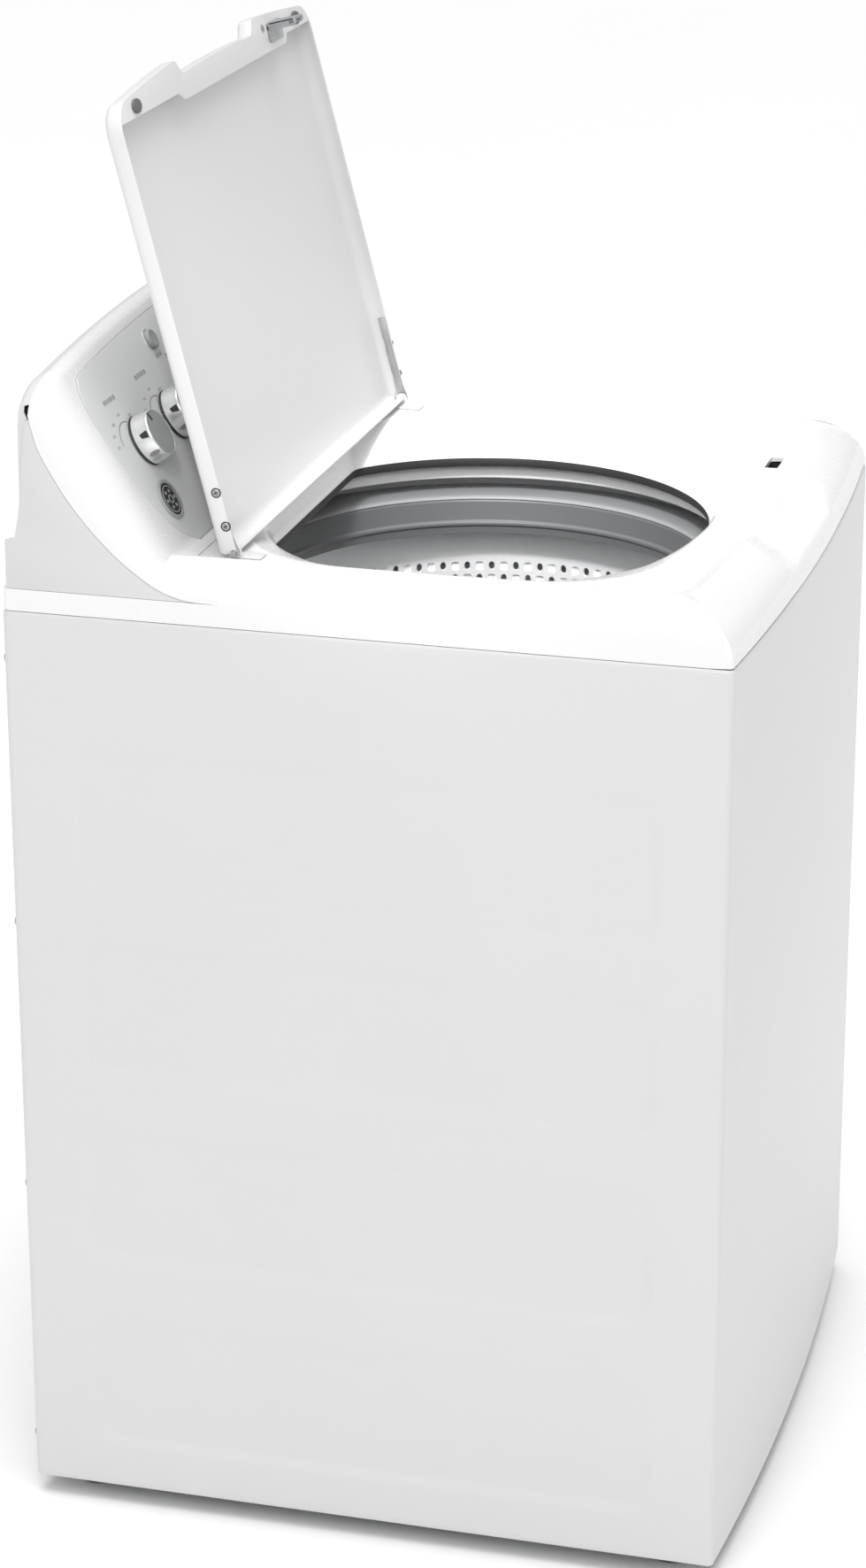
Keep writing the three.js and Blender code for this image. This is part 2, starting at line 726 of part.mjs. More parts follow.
// Everything the console takes up above its seat, run on past both sides and grown by a gap.
function consoleEnvelope( gap ) {

	const floor = SEAT_Z + GAP - 2 * gap;
	const ring = ( section, x ) => {

		const front = section.map( ( point ) => [ point.y - 3 * gap, point.z + gap, x ] );
		return [ ...front, [ 350, front.at( - 1 )[ 1 ], x ], [ 350, floor, x ], [ front[ 0 ][ 0 ], floor, x ] ];

	};

	const rings = [
		ring( consoleGrid[ 0 ], - HALF_WIDTH - 2 ),
		...consoleGrid.map( ( section ) => ring( section, section[ 0 ].x ) ),
		ring( consoleGrid.at( - 1 ), HALF_WIDTH + 2 ),
	];
	return loft( rings ).transform( [ 0, 1, 0, 0, 0, 0, 1, 0, 1, 0, 0, 0, 0, 0, 0, 1 ] );

}

function topCover() {

	const shifted = [ - 2 * GAP, 0, 2 * GAP ].map( ( x ) => consoleEnvelope( GAP ).translate( [ x, 0, 0 ] ) );
	const skin = cut( loft( coverRings(), true ), ...shifted );
	const wallX = HALF_WIDTH - 1.5, floorZ = SEAT_Z - GAP - COVER_SKIN;
	const tray = join(
		block( - wallX, wallX, CONSOLE_FRONT_Y - 4, SIDE_Y - 1.5, floorZ, SEAT_Z - GAP ),
		block( - 300, 300, CONSOLE_FRONT_Y - 4, CONSOLE_FRONT_Y - 1.5, floorZ, DECK_Z - 1 ) );
	const slot = block( SLOT.x - SLOT.length / 2, SLOT.x + SLOT.length / 2,
		SLOT.y - SLOT.width / 2, SLOT.y + SLOT.width / 2, DECK_Z - 10, DECK_Z + 5 );
	const wiring = block( 200, 250, 235, 265, floorZ - 1, SEAT_Z + 1 );
	return cut( join( skin, tray ), slot, wiring );

}

place( 'top_cover', topCover(), MATERIALS.glossWhite );

// Lid lock: a housing under the slot that the lid's strike drops into.
function lidLock() {

	const top = DECK_Z - COVER_SKIN - 3.3, { x, y } = SLOT;
	const body = block( x - 34, x + 34, y - 11, y + 14, top - 42, top );
	const reach = SLOT.length / 2 + 1;
	return cut( body, block( x - reach, x + reach, y - 6.5, y + 6.5, top - 36, top + 1 ) );

}

place( 'lid_lock', lidLock(), MATERIALS.plasticDark );

// Hinge brackets stand on the deck inside the lid's flanges; each carries a pin that points outward.
function hingeBracket( side ) {

	const { y, z } = HINGE, inner = LID_HALF_WIDTH - 8.5;
	const foot = block( inner - 16, inner + 2, y - 24, y + 6, DECK_Z + GAP, DECK_Z + 2 );
	const ear = sidePrism( [ [ y - 9, DECK_Z + GAP ], [ y + 6, DECK_Z + GAP ], ...arc( y, z, 5.6, 0, 180, 6 ) ],
		inner, inner + 2.5 );
	const pin = bar( [ inner + 1, y, z ], [ LID_HALF_WIDTH + 1.8, y, z ], HINGE_PIN_RADIUS, 16 );
	const bracket = join( foot, ear, pin );
	return side > 0 ? bracket : bracket.mirror( [ 1, 0, 0 ] );

}

place( 'hinge_bracket_left', hingeBracket( - 1 ), MATERIALS.zinc );
place( 'hinge_bracket_right', hingeBracket( 1 ), MATERIALS.zinc );

// ---------------------------------------------------------------- console

// Outline of the silver control panel on its leaning plane: x, and distance up the plane.
function panelOutline( grow = 0 ) {

	const half = [ [ 236, 1 ], [ 262, 24 ], [ 280, 52 ], [ 291, 84 ], [ 296, 118 ], [ 297, 150 ], [ 293, 172 ],
		[ 284, 184 ], [ 270, 189 ], [ 180, 195.5 ], [ 90, 199.5 ] ];
	const left = half.map( ( [ x, up ] ) => [ - x, up ] ).reverse();
	const middleUp = 100, reachUp = 90;
	return [ ...half, [ 0, 201 ], ...left ].map( ( [ x, up ] ) => [
		x + grow * Math.sign( x ), up + grow * ( up - middleUp ) / reachUp ] );

}

const PANEL_MATRIX = new THREE.Matrix4().compose(
	new THREE.Vector3( 0, PANEL_FOOT.y, PANEL_FOOT.z ),
	new THREE.Quaternion().setFromAxisAngle( new THREE.Vector3( 1, 0, 0 ), PANEL_LEAN ),
	new THREE.Vector3( 1, 1, 1 ) );
const ontoConsole = ( body ) => body.transform( PANEL_MATRIX.toArray() );

const PANEL_PLATE = 2;
const KNOBS = [
	{ name: 'soil_knob', x: - 226, up: 104, radius: 24 },
	{ name: 'temperature_knob', x: - 137, up: 106, radius: 24 },
	{ name: 'load_knob', x: - 48, up: 106, radius: 24 },
	{ name: 'cycle_knob', x: 150, up: 104, radius: 36 },
];
const BUTTONS = [ { name: 'option_button', x: - 98, up: 176 }, { name: 'start_button', x: 255, up: 150 } ];
const BUTTON_RADIUS = 9.5;
const BADGE = { x: - 242, up: 47, radius: 19.5 };
const SPINDLE_RADIUS = 3.5; // knob spindle

const inPanel = ( [ x, up ], depth0, depth1, radius, facets = FACETS ) =>
	bar( [ x, up, depth0 ], [ x, up, depth1 ], radius, facets );

function consoleBezel() {

	const shell = sheet( consoleGrid, BEZEL_SKIN );
	const pocket = ontoConsole( prism( panelOutline( 0.5 ), - PANEL_PLATE - GAP, 30 ) );
	const window = ontoConsole( prism( panelOutline( - 9 ), - 12, 5 ) );
	return cut( shell.intersect( consoleEnvelope( 0 ) ), pocket, window );

}

place( 'console_bezel', consoleBezel(), MATERIALS.glossWhite );

// End caps fill the sides between the bezel's edge and the back cover.
function endCap( side ) {

	const front = END_SECTION.slice( 0, - 2 ).map( ( [ y, z ] ) => [ y + 1.1, z - 1.3 ] );
	const rear = [ [ 304, 1066 ], [ 310, 1036 ], [ 316, 1009 ], [ 323, 978 ], [ 333, SEAT_Z + GAP ] ];
	const outline = [ [ 174, SEAT_Z + GAP ], ...front.slice( 2 ), [ 304, 1074 ], ...rear ];
	const [ x0, x1 ] = [ HALF_WIDTH - 2.5, HALF_WIDTH ];
	return side > 0 ? sidePrism( outline, x0, x1 ) : sidePrism( outline, - x1, - x0 );

}

place( 'console_end_cap_left', endCap( - 1 ), MATERIALS.capGrey );
place( 'console_end_cap_right', endCap( 1 ), MATERIALS.capGrey );

// Back cover, stepped in half way up and turned forward under the bezel's rear edge.
function consoleBack() {

	const columns = [ - 338, - 330, - ROLL_START_X, - 150, 0, 150, ROLL_START_X, 330, 338 ];
	const grid = columns.map( ( x ) => {

		const top = consolePoint( Math.min( Math.abs( x ), 338 ), 11 ).z - 4;
		const profile = [ [ 331, SEAT_Z + GAP ], [ 329, 974 ], [ 323, 978 ], [ 318, 1006 ], [ 317, top - 16 ],
			[ 315, top - 6 ], [ 309, top ] ];
		return profile.map( ( [ y, z ] ) => new THREE.Vector3( x, y, z ) );

	} );
	return sheet( grid.reverse(), 1.2 );

}

place( 'console_back_cover', consoleBack(), MATERIALS.zinc );

function controlPanel() {

	const plate = prism( panelOutline( 0 ), - PANEL_PLATE, 0 );
	const holes = KNOBS.map( ( { x, up } ) => inPanel( [ x, up ], - 10, 10, SPINDLE_RADIUS + 1.5 ) );
	const wells = BUTTONS.map( ( { x, up } ) => inPanel( [ x, up ], - 10, 10, BUTTON_RADIUS + GAP ) );
	return ontoConsole( cut( plate, ...holes, ...wells ) );

}

place( 'control_panel', controlPanel(), MATERIALS.panelSilver );

const badge = turned( [ [ 0, GAP ], [ BADGE.radius, GAP ], [ BADGE.radius, 1.6 ],
	[ BADGE.radius - 2.5, 2.4 ], [ BADGE.radius - 3.5, 1.7 ], [ 0, 1.7 ] ], BADGE.x, BADGE.up, 24 );
place( 'console_badge', ontoConsole( badge ), MATERIALS.chrome );

// A knob: a tapered body with a dished face and a grip ridge, on a shaft that passes through the panel.
for ( const { name, x, up, radius } of KNOBS ) {

	const height = 20, foot = 3;
	const body = turned( [ [ 0, foot ], [ radius + 0.6, foot ], [ radius + 0.6, foot + 2 ],
		[ radius - 1, height - 2 ], [ radius - 2.5, height ], [ radius - 5, height ],
		[ radius - 6, height - 1.5 ], [ 0, height - 1.5 ] ], x, up, 20 );
	const ridge = block( x - 1.6, x + 1.6, up + radius * 0.25, up + radius - 4, height - 2, height + 0.6 );
	const shaft = inPanel( [ x, up ], - 24, foot + 1, SPINDLE_RADIUS, 10 );
	place( name, ontoConsole( join( body, ridge, shaft ) ), MATERIALS.chrome );

	const size = radius * 0.6;
	const housing = join( inPanel( [ x, up ], - 26, - 9, size, 12 ),
		block( x - size, x + size, up - size * 0.8, up + size * 0.8, - 34, - 25 ) );
	const bore = inPanel( [ x, up ], - 24.6, 0, SPINDLE_RADIUS + GAP, 10 );
	place( name.replace( 'knob', 'switch' ), ontoConsole( cut( housing, bore ) ), MATERIALS.plasticDark );

}

for ( const { name, x, up } of BUTTONS ) {

	place( name, ontoConsole( turned( [ [ 0, - 7 ], [ BUTTON_RADIUS, - 7 ], [ BUTTON_RADIUS, 4.5 ],
		[ BUTTON_RADIUS - 1.5, 5.6 ], [ 0, 5.6 ] ], x, up, 18 ) ), MATERIALS.plasticLight );

}

// Control board behind the start button.
place( 'control_board', ontoConsole( block( 190, 275, 40, 62, - 30, - 14 ) ), MATERIALS.plasticDark );

// ---------------------------------------------------------------- lid

const lid = new THREE.Group(); // drawn closed, about the hinge axis, then swung open
lid.position.set( 0, HINGE.y, HINGE.z );
lid.rotation.x = - OPEN_ANGLE;
washer.add( lid );

// The lid's plan outline about the hinge, with the handle notch in its front edge.
function lidOutline( inset = 0 ) {

	const half = LID_HALF_WIDTH - inset, front = - LID_LENGTH + inset, rear = LID_TAIL - inset;
	const radius = LID_RADIUS - inset, tail = 4, slope = 12;
	const notch = NOTCH_HALF_WIDTH + inset, notchY = front + NOTCH_DEPTH;
	return bulged( [
		...arc( - half + radius, front + radius, radius, 180, 270, 5 ), [ - 185, front ],
		[ - notch - slope, front ], [ - notch, notchY ], [ - 50, notchY ], [ 0, notchY ], [ 50, notchY ],
		[ notch, notchY ], [ notch + slope, front ],
		[ 185, front ], ...arc( half - radius, front + radius, radius, 270, 360, 5 ),
		...arc( half - tail, rear - tail, tail, 0, 90, 2 ),
		...arc( - half + tail, rear - tail, tail, 90, 180, 2 ),
	], LID_HALF_WIDTH, - 300 );

}

function lidPanel() {

	const ring = ( inset, z ) => lidOutline( inset ).map( ( [ x, y ] ) => [ x, y, z ] );
	const outside = loft( [ ring( 0, LID_LIP ), ring( 0, LID_TOP - 7 ), ring( 0.9, LID_TOP - 3.6 ),
		ring( 3.4, LID_TOP - 0.9 ), ring( 7, LID_TOP ) ] );
	const inside = loft( [ ring( LID_SKIN, LID_LIP - 1 ), ring( LID_SKIN, LID_TOP - 7 - LID_SKIN ),
		ring( 2.1, LID_TOP - 4.8 ), ring( 4.6, LID_TOP - 2.1 ), ring( 8.2, LID_TOP - LID_SKIN ) ] );
	const lipInner = [ [ 330, - 395 ], [ 206, - 395 ], [ 200, - 387 ], [ - 113, - 387 ], [ - 127, - 395 ],
		[ - 330, - 395 ] ];
	const returnLip = prism( lidOutline( 0.4 ), LID_LIP, LID_LIP + LID_SKIN ).intersect(
		prism( [ [ - 330, - 500 ], [ 330, - 500 ], ...lipInner ], LID_LIP - 5, LID_LIP + 5 ) );
	const pinHoles = bar( [ - 300, 0, 0 ], [ 300, 0, 0 ], HINGE_PIN_RADIUS + 0.5, 16 )
		.subtract( block( - 280, 280, - 20, 20, - 20, 20 ) );
	const flangeInside = LID_HALF_WIDTH - LID_SKIN;
	const rightRoom = block( flangeInside - 9, flangeInside, - 6, 5, - 10, 8 );
	const leftRoom = rightRoom.mirror( [ 1, 0, 0 ] );
	return cut( join( cut( outside, inside ), returnLip ), pinHoles, rightRoom, leftRoom );

}

place( 'lid_panel', lidPanel(), MATERIALS.paintedWhite, lid );

// A steel strap lies inside each side flange and turns on the bracket's pin.
function hingeArm( side ) {

	const outer = LID_HALF_WIDTH - LID_SKIN - GAP;
	const strap = sidePrism( [ ...arc( 0, 0, 5, - 90, 90, 7 ), [ - 14, 5 ], [ - 86, 5 ], [ - 86, - 2.2 ],
		[ - 50, - 2 ], [ - 14, - 2.8 ] ], outer - 2.5, outer );
	const hole = bar( [ 260, 0, 0 ], [ 300, 0, 0 ], HINGE_PIN_RADIUS + 0.1, 16 );
	const arm = cut( strap, hole );
	return side > 0 ? arm : arm.mirror( [ 1, 0, 0 ] );

}

place( 'hinge_arm_left', hingeArm( - 1 ), MATERIALS.zinc, lid );
place( 'hinge_arm_right', hingeArm( 1 ), MATERIALS.zinc, lid );

for ( const [ hand, side ] of [ [ 'left', - 1 ], [ 'right', 1 ] ] ) {

	const low = DECK_Z - HINGE.z + GAP + 0.2;
	const oval = arc( 0, 0, 1, 0, 350, 17 ).map( ( [ x, y ] ) => [ side * 240 + x * 10, - 404.5 + y * 6.5 ] );
	place( `lid_bumper_${ hand }`, prism( oval, low, LID_LIP - GAP ), MATERIALS.rubber, lid );

}

// Lock strike: a bent tongue on the return lip that drops through the slot.
function lidStrike() {

	const x = SLOT.x + 4, y = SLOT.y - HINGE.y + 2, low = LID_LIP - GAP;
	const foot = block( x - 12, x + 38, y - 3.5, y + 22, low - 1.8, low );
	const tongue = block( x - 12, x + 12, y - 3.5, y + 3.5, low - 31, low );
	const hollow = block( x - 14, x + 10.5, y - 2, y + 2, low - 20, low - 2.5 );
	const eye = block( x - 14, x + 14, y - 1.6, y + 1.6, low - 28, low - 23 );
	return cut( join( foot, tongue ), hollow, eye );

}

place( 'lid_strike', lidStrike(), MATERIALS.chrome, lid );

// ---------------------------------------------------------------- wash system

const lugAngle = ( x, y ) => Math.atan2( y - AXIS_Y, x );

function outerTub() {

	const r = TUB_RADIUS, skin = TUB_SKIN, low = TUB_BOTTOM_Z;
	let tub = turned( [ [ 34, low ], [ 200, low ], [ r - 20, low + 8 ], [ r, low + 36 ], [ r, TUB_TOP_Z ],
		[ r - skin, TUB_TOP_Z ], [ r - skin, low + 38 ], [ r - 22, low + 12 ], [ 200, low + 4 ],
		[ 34, low + 4 ] ] );
	for ( const [ x, y ] of Object.values( ROD_POSITIONS ) ) {

		const degrees = THREE.MathUtils.radToDeg( lugAngle( x, y ) );
		const reach = Math.hypot( x, y - AXIS_Y );
		const lug = join(
			block( r - 2, reach + 16, - 18, 18, LUG_BOTTOM_Z, LUG_BOTTOM_Z + 10 ),
			block( r - 2, r + 22, - 3, 3, LUG_BOTTOM_Z - 60, LUG_BOTTOM_Z + 1 ) );
		const bore = bar( [ x, y, LUG_BOTTOM_Z - 5 ], [ x, y, LUG_BOTTOM_Z + 20 ], 2 * ROD_RADIUS, 16 );
		tub = cut( join( tub, lug.rotate( [ 0, 0, degrees ] ).translate( [ 0, AXIS_Y, 0 ] ) ), bore );

	}

	return cut( tub, bar( [ PUMP.x, PUMP.y, low - 5 ], [ PUMP.x, PUMP.y, low + 10 ], 15, 16 ) );

}

place( 'outer_tub', outerTub(), MATERIALS.plasticLight );

place( 'tub_ring', turned( [
	[ 233, 899 ], [ 233, 908 ], [ 236, 911 ], [ 241, 910 ], [ 262, 901 ], [ 283, 896 ], [ 284, 878 ],
	[ 278.4, 878 ], [ 278.4, 889 ], [ 262, 893 ], [ 244, 897 ] ] ), MATERIALS.glossWhite );

function washBasket() {

	const r = BASKET_RADIUS, low = BASKET_FLOOR_Z, rim = BASKET_TOP_Z + 8, bandZ = 800;
	return turned( [ [ 62, low ], [ 236, low ], [ r - 4, low + 5 ], [ r, low + 20 ], [ r, bandZ ],
		[ r + 2, bandZ + 6 ], [ r + 2, rim ], [ r + 0.4, rim ], [ r + 0.4, bandZ + 6.5 ],
		[ r - BASKET_SKIN, bandZ + 0.5 ], [ r - BASKET_SKIN, low + 20 ], [ r - 5, low + 7 ],
		[ 236, low + 2 ], [ 62, low + 2 ] ] );

}

place( 'wash_basket', washBasket(), MATERIALS.stainless );

place( 'balance_ring', turned( [ [ 217, 845 ], [ 217, 854 ], [ 214.5, 855 ], [ 214.5, 858 ],
	[ 217, 882 ], [ 220, BALANCE_TOP_Z ], [ 266, BALANCE_TOP_Z ], [ 266, BASKET_TOP_Z + 9 ],
	[ 255.8, BASKET_TOP_Z + 9 ], [ 255.8, 845 ] ] ), MATERIALS.plasticGrey );

// Hub under the basket's floor, on the spin tube, with the brake plate below it.
place( 'spin_tube', turned( [
	[ 14.4, 232 ], [ 19, 232 ], [ 19, 338 ], [ 50, 342 ], [ 90, BASKET_FLOOR_Z - 4 ],
	[ 90, BASKET_FLOOR_Z - GAP ], [ 14.4, BASKET_FLOOR_Z - GAP ] ], 0, AXIS_Y, 20 ), MATERIALS.castAluminium );

// Agitator: a hollow skirt and column with four fins.
function agitator() {

	let body = turned( [ [ 0, 368 ], [ 196, 368 ], [ 196, 374 ], [ 150, 388 ], [ 96, 410 ],
		[ 68, 450 ], [ 58, 520 ], [ 50, 790 ], [ 44, 798 ], [ 0, 798 ] ], 0, AXIS_Y, 20 );
	const hollow = turned( [ [ 0, 360 ], [ 190, 360 ], [ 190, 371 ], [ 147, 384 ], [ 92, 407 ],
		[ 64, 449 ], [ 54.5, 520 ], [ 47, 700 ], [ 0, 700 ] ], 0, AXIS_Y, 20 );
	for ( let quarter = 0; quarter < 4; quarter ++ ) {

		const fin = prism( [ [ 40, 372 ], [ 180, 372 ], [ 176, 400 ], [ 120, 440 ], [ 92, 520 ], [ 84, 600 ],
			[ 78, 660 ], [ 40, 672 ] ], - 3, 3 );
		const upright = fin.rotate( [ 90, 0, 0 ] ).rotate( [ 0, 0, 90 * quarter + 20 ] );
		body = join( body, upright.translate( [ 0, AXIS_Y, 0 ] ) );

	}

	const bore = bar( [ 0, AXIS_Y, 690 ], [ 0, AXIS_Y, 810 ], SHAFT_RADIUS + GAP );
	return cut( body, hollow, bore );

}

place( 'agitator', agitator(), MATERIALS.plasticGrey );

const cap = turned( [ [ 0, 798.3 ], [ 48, 798.3 ], [ 49, 806 ], [ 44, 824 ], [ 28, AGITATOR_TOP_Z ],
	[ 0, AGITATOR_TOP_Z + 2 ] ], 0, AXIS_Y, 24 );
const capBore = bar( [ 0, AXIS_Y, 790 ], [ 0, AXIS_Y, 812 ], SHAFT_RADIUS + GAP );
place( 'agitator_cap', cut( cap, capBore ), MATERIALS.plasticLight );

// The shaft that the agitator, and below it the drive pulley, sit on.
place( 'agitator_shaft', bar( [ 0, AXIS_Y, 104 ], [ 0, AXIS_Y, 806 ], SHAFT_RADIUS ), MATERIALS.zinc );

// Gearcase and bearing housing bolted under the tub, round the spin tube.
place( 'gearcase', turned( [ [ 19.4, 228 ], [ 60, 214 ], [ 66, 218 ], [ 66, 262 ], [ 90, 290 ],
	[ 110, TUB_BOTTOM_Z - 4 ], [ 110, TUB_BOTTOM_Z - GAP ], [ 19.4, TUB_BOTTOM_Z - GAP ] ], 0, AXIS_Y, 20 ),
MATERIALS.castAluminium );

// ---------------------------------------------------------------- drive

const wheel = turned( [ [ SHAFT_RADIUS + GAP, 110 ], [ 26, 110 ], [ 26, 120 ], [ 74, 120 ], [ 92, 112 ],
	[ DRIVE_PULLEY_RADIUS - 4, BELT_Z - 8 ], [ DRIVE_PULLEY_RADIUS - 4, BELT_Z + 8 ], [ 92, 144 ],
	[ 74, 128 ], [ 30, 128 ], [ 30, 150 ], [ SHAFT_RADIUS + GAP, 150 ] ], 0, AXIS_Y, 28 );
place( 'drive_pulley', wheel, MATERIALS.castAluminium );

function motor() {

	const { x, y } = MOTOR;
	const body = turned(
		[ [ 0, 168 ], [ 58, 168 ], [ 64, 174 ], [ 64, 262 ], [ 58, 268 ], [ 0, 268 ] ], x, y, 20 );
	const bracket = block( x - 70, x + 70, y - 74, y + 66, 268, 274 );
	const posts = [ x - 62, x + 62 ].map( ( post ) =>
		block( post - 5, post + 5, y - 60, y + 40, 270, TUB_BOTTOM_Z - GAP ) );
	const bore = bar( [ x, y, 150 ], [ x, y, 230 ], MOTOR_SHAFT_RADIUS + GAP, 16 );
	return cut( join( body, bracket, ...posts ), bore );

}

place( 'motor', motor(), MATERIALS.zinc );

const motorWheel = turned( [ [ 0, 112 ], [ 28, 112 ], [ 28, 114 ], [ MOTOR_PULLEY_RADIUS - 3, BELT_Z - 8 ],
	[ MOTOR_PULLEY_RADIUS - 3, BELT_Z + 8 ], [ 28, 142 ], [ 28, 144 ], [ 0, 144 ] ], MOTOR.x, MOTOR.y, FACETS );
const motorShaft = bar( [ MOTOR.x, MOTOR.y, 140 ], [ MOTOR.x, MOTOR.y, 226 ], MOTOR_SHAFT_RADIUS, 16 );
place( 'motor_pulley', join( motorWheel, motorShaft ), MATERIALS.castAluminium );

// The belt follows the two pulleys and their outer tangents.
function driveBelt() {

	const distance = MOTOR.y - AXIS_Y;
	const loop = ( large, small ) => {

		const tilt = THREE.MathUtils.radToDeg( Math.asin( ( large - small ) / distance ) );
		return [ ...arc( 0, AXIS_Y, large, 180 - tilt, 360 + tilt, 20 ),
			...arc( 0, MOTOR.y, small, tilt, 180 - tilt, 10 ) ];

	};

	return prism( loop( DRIVE_PULLEY_RADIUS, MOTOR_PULLEY_RADIUS ), BELT_Z - 6, BELT_Z + 6,
		[ loop( DRIVE_PULLEY_RADIUS - 3.2, MOTOR_PULLEY_RADIUS - 2.2 ) ] );

}

place( 'drive_belt', driveBelt(), MATERIALS.rubber );

// Drain pump hung under the tub, with its inlet neck at the tub's drain.
function drainPump() {

	const { x, y } = PUMP;
	const body = turned( [ [ 0, 218 ], [ 44, 218 ], [ 48, 224 ], [ 48, 256 ], [ 40, 264 ], [ 14, 268 ],
		[ 14, TUB_BOTTOM_Z - GAP ], [ 0, TUB_BOTTOM_Z - GAP ] ], x, y, 18 );
	const coil = turned(
		[ [ 0, 168 ], [ 26, 168 ], [ 30, 174 ], [ 30, 212 ], [ 20, 219 ], [ 0, 219 ] ], x, y, FACETS );
	return join( body, coil, bar( [ x + 40, y, 240 ], [ x + 86, y, 240 ], 12, 16 ) );

}

place( 'drain_pump', drainPump(), MATERIALS.plasticDark );

// ---------------------------------------------------------------- suspension

for ( const [ corner, [ x, y ] ] of Object.entries( ROD_POSITIONS ) ) {

	const rod = turned( [ [ 0, ROD_CUP_Z - 16 ], [ 6, ROD_CUP_Z - 16 ], [ 6, ROD_CUP_Z - 8 ],
		[ 15, ROD_CUP_Z - 4 ],
		[ 15, ROD_CUP_Z ], [ ROD_RADIUS, ROD_CUP_Z ], [ ROD_RADIUS, ROD_SEAT_Z + GAP ], [ 9, ROD_SEAT_Z + GAP ],
		[ 9, ROD_SEAT_Z + 5 ], [ 5, ROD_SEAT_Z + 10 ], [ 0, ROD_SEAT_Z + 10 ] ], x, y, 10 );
	place( `suspension_rod_${ corner }`, rod, MATERIALS.zinc );

	class Coil extends THREE.Curve {

		getPoint( t, target = new THREE.Vector3() ) {

			const angle = 2 * Math.PI * 4 * t, low = ROD_CUP_Z + 2.6, high = LUG_BOTTOM_Z - 2.6;
			return target.set( x + 11 * Math.cos( angle ), y + 11 * Math.sin( angle ), mix( low, high, t ) );

		}

	}

	const wire = new THREE.Shape( arc( 0, 0, 2, 0, 270, 3 ).map( ( [ u, v ] ) => new THREE.Vector2( u, v ) ) );
	const coil = new THREE.ExtrudeGeometry( wire, { steps: 36, extrudePath: new Coil(), bevelEnabled: false } );
	place( `suspension_spring_${ corner }`, solid( coil ), MATERIALS.zinc );

}

// ---------------------------------------------------------------- water and electricity

// Inlet valve in the rear panel with hot and cold nipples pointing back.
function inletValve() {

	const { x, z } = INLET_PORT, rear = PANEL_REAR_Y;
	const plate = block( x - 44, x + 44, rear - 6, rear - 1, z - 17, z + 17 );
	const bodies = [ - 24, 24 ].map( ( offset ) => join(
		block( x + offset - 15, x + offset + 15, rear - 45, rear - 5, z - 16, z + 16 ),
		bar( [ x + offset, rear - 8, z ], [ x + offset, SIDE_Y + 14, z ], 12, FACETS ) ) );
	const bridge = block( x - 12, x + 12, rear - 40, rear - 10, z - 8, z + 8 );
	const bores = [ - 24, 24 ].map( ( offset ) =>
		bar( [ x + offset, rear - 2, z ], [ x + offset, SIDE_Y + 20, z ], 8.5, 16 ) );
	return cut( join( plate, ...bodies, bridge ), ...bores );

}

place( 'inlet_valve', inletValve(), MATERIALS.plasticLight );

// A turned piece that lies along Y, from [radius, y] points about a port in the rear panel.
function portFitting( profile, { x, z }, y ) {

	const points = [ ...profile, profile[ 0 ] ].map( ( point ) => new THREE.Vector2( ...point ) );
	return solid( new THREE.LatheGeometry( points, FACETS ).translate( x, y, z ) );

}

// Drain spout: the elbow's end that the drain hose clamps to.
const spout = portFitting( [ [ 14, 0 ], [ 27, 0 ], [ 27, 3 ], [ 20, 3 ], [ 20, 6 ], [ 16.5, 6 ],
	[ 16.5, 20 ], [ 14, 20 ] ], DRAIN_PORT, PANEL_REAR_Y - SHEET - 3 - GAP );
place( 'drain_spout', spout, MATERIALS.plasticDark );

// Cord gland, empty: a flanged bush in the rear panel.
const gland = portFitting( [ [ 5, 0 ], [ 11, 0 ], [ 11, 4.5 ], [ 15, 4.5 ], [ 15, 8 ], [ 9, 11 ],
	[ 5, 11 ] ], CORD_PORT, PANEL_REAR_Y - 4.2 );
place( 'cord_gland', gland, MATERIALS.plasticDark );

export default washer;
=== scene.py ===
"""Top load washing machine: fine meshes, procedural finishes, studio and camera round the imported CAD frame.

Shapes are drawn in millimetres in the CAD frame (+Z up, front towards -Y) and scaled once, in shape().
"""

import json
import math

import bmesh
import bpy
from mathutils import Matrix, Vector


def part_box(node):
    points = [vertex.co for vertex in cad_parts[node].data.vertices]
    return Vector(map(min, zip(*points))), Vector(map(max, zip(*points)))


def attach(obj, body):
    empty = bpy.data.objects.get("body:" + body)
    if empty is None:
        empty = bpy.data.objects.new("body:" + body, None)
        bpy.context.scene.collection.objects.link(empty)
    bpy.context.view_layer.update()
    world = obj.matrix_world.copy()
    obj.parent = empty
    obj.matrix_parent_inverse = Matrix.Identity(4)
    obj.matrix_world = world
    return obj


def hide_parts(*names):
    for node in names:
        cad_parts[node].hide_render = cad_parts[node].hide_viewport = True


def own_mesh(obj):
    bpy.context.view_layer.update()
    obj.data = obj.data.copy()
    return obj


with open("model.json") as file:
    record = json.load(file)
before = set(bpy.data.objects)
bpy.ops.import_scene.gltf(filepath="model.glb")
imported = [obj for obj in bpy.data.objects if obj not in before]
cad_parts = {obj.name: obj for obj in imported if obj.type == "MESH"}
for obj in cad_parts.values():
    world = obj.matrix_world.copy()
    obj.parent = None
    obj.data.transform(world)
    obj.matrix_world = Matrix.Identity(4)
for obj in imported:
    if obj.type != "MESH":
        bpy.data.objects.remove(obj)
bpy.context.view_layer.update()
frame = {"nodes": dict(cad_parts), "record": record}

MM = 0.001


def millimetres(node):
    """Lowest and highest corner of a CAD node, in millimetres."""
    low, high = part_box(node)
    return low / MM, high / MM


def centre(node):
    """Middle of a CAD node's box, in millimetres."""
    low, high = millimetres(node)
    return (low + high) / 2


# ---- driving dimensions, from the frame

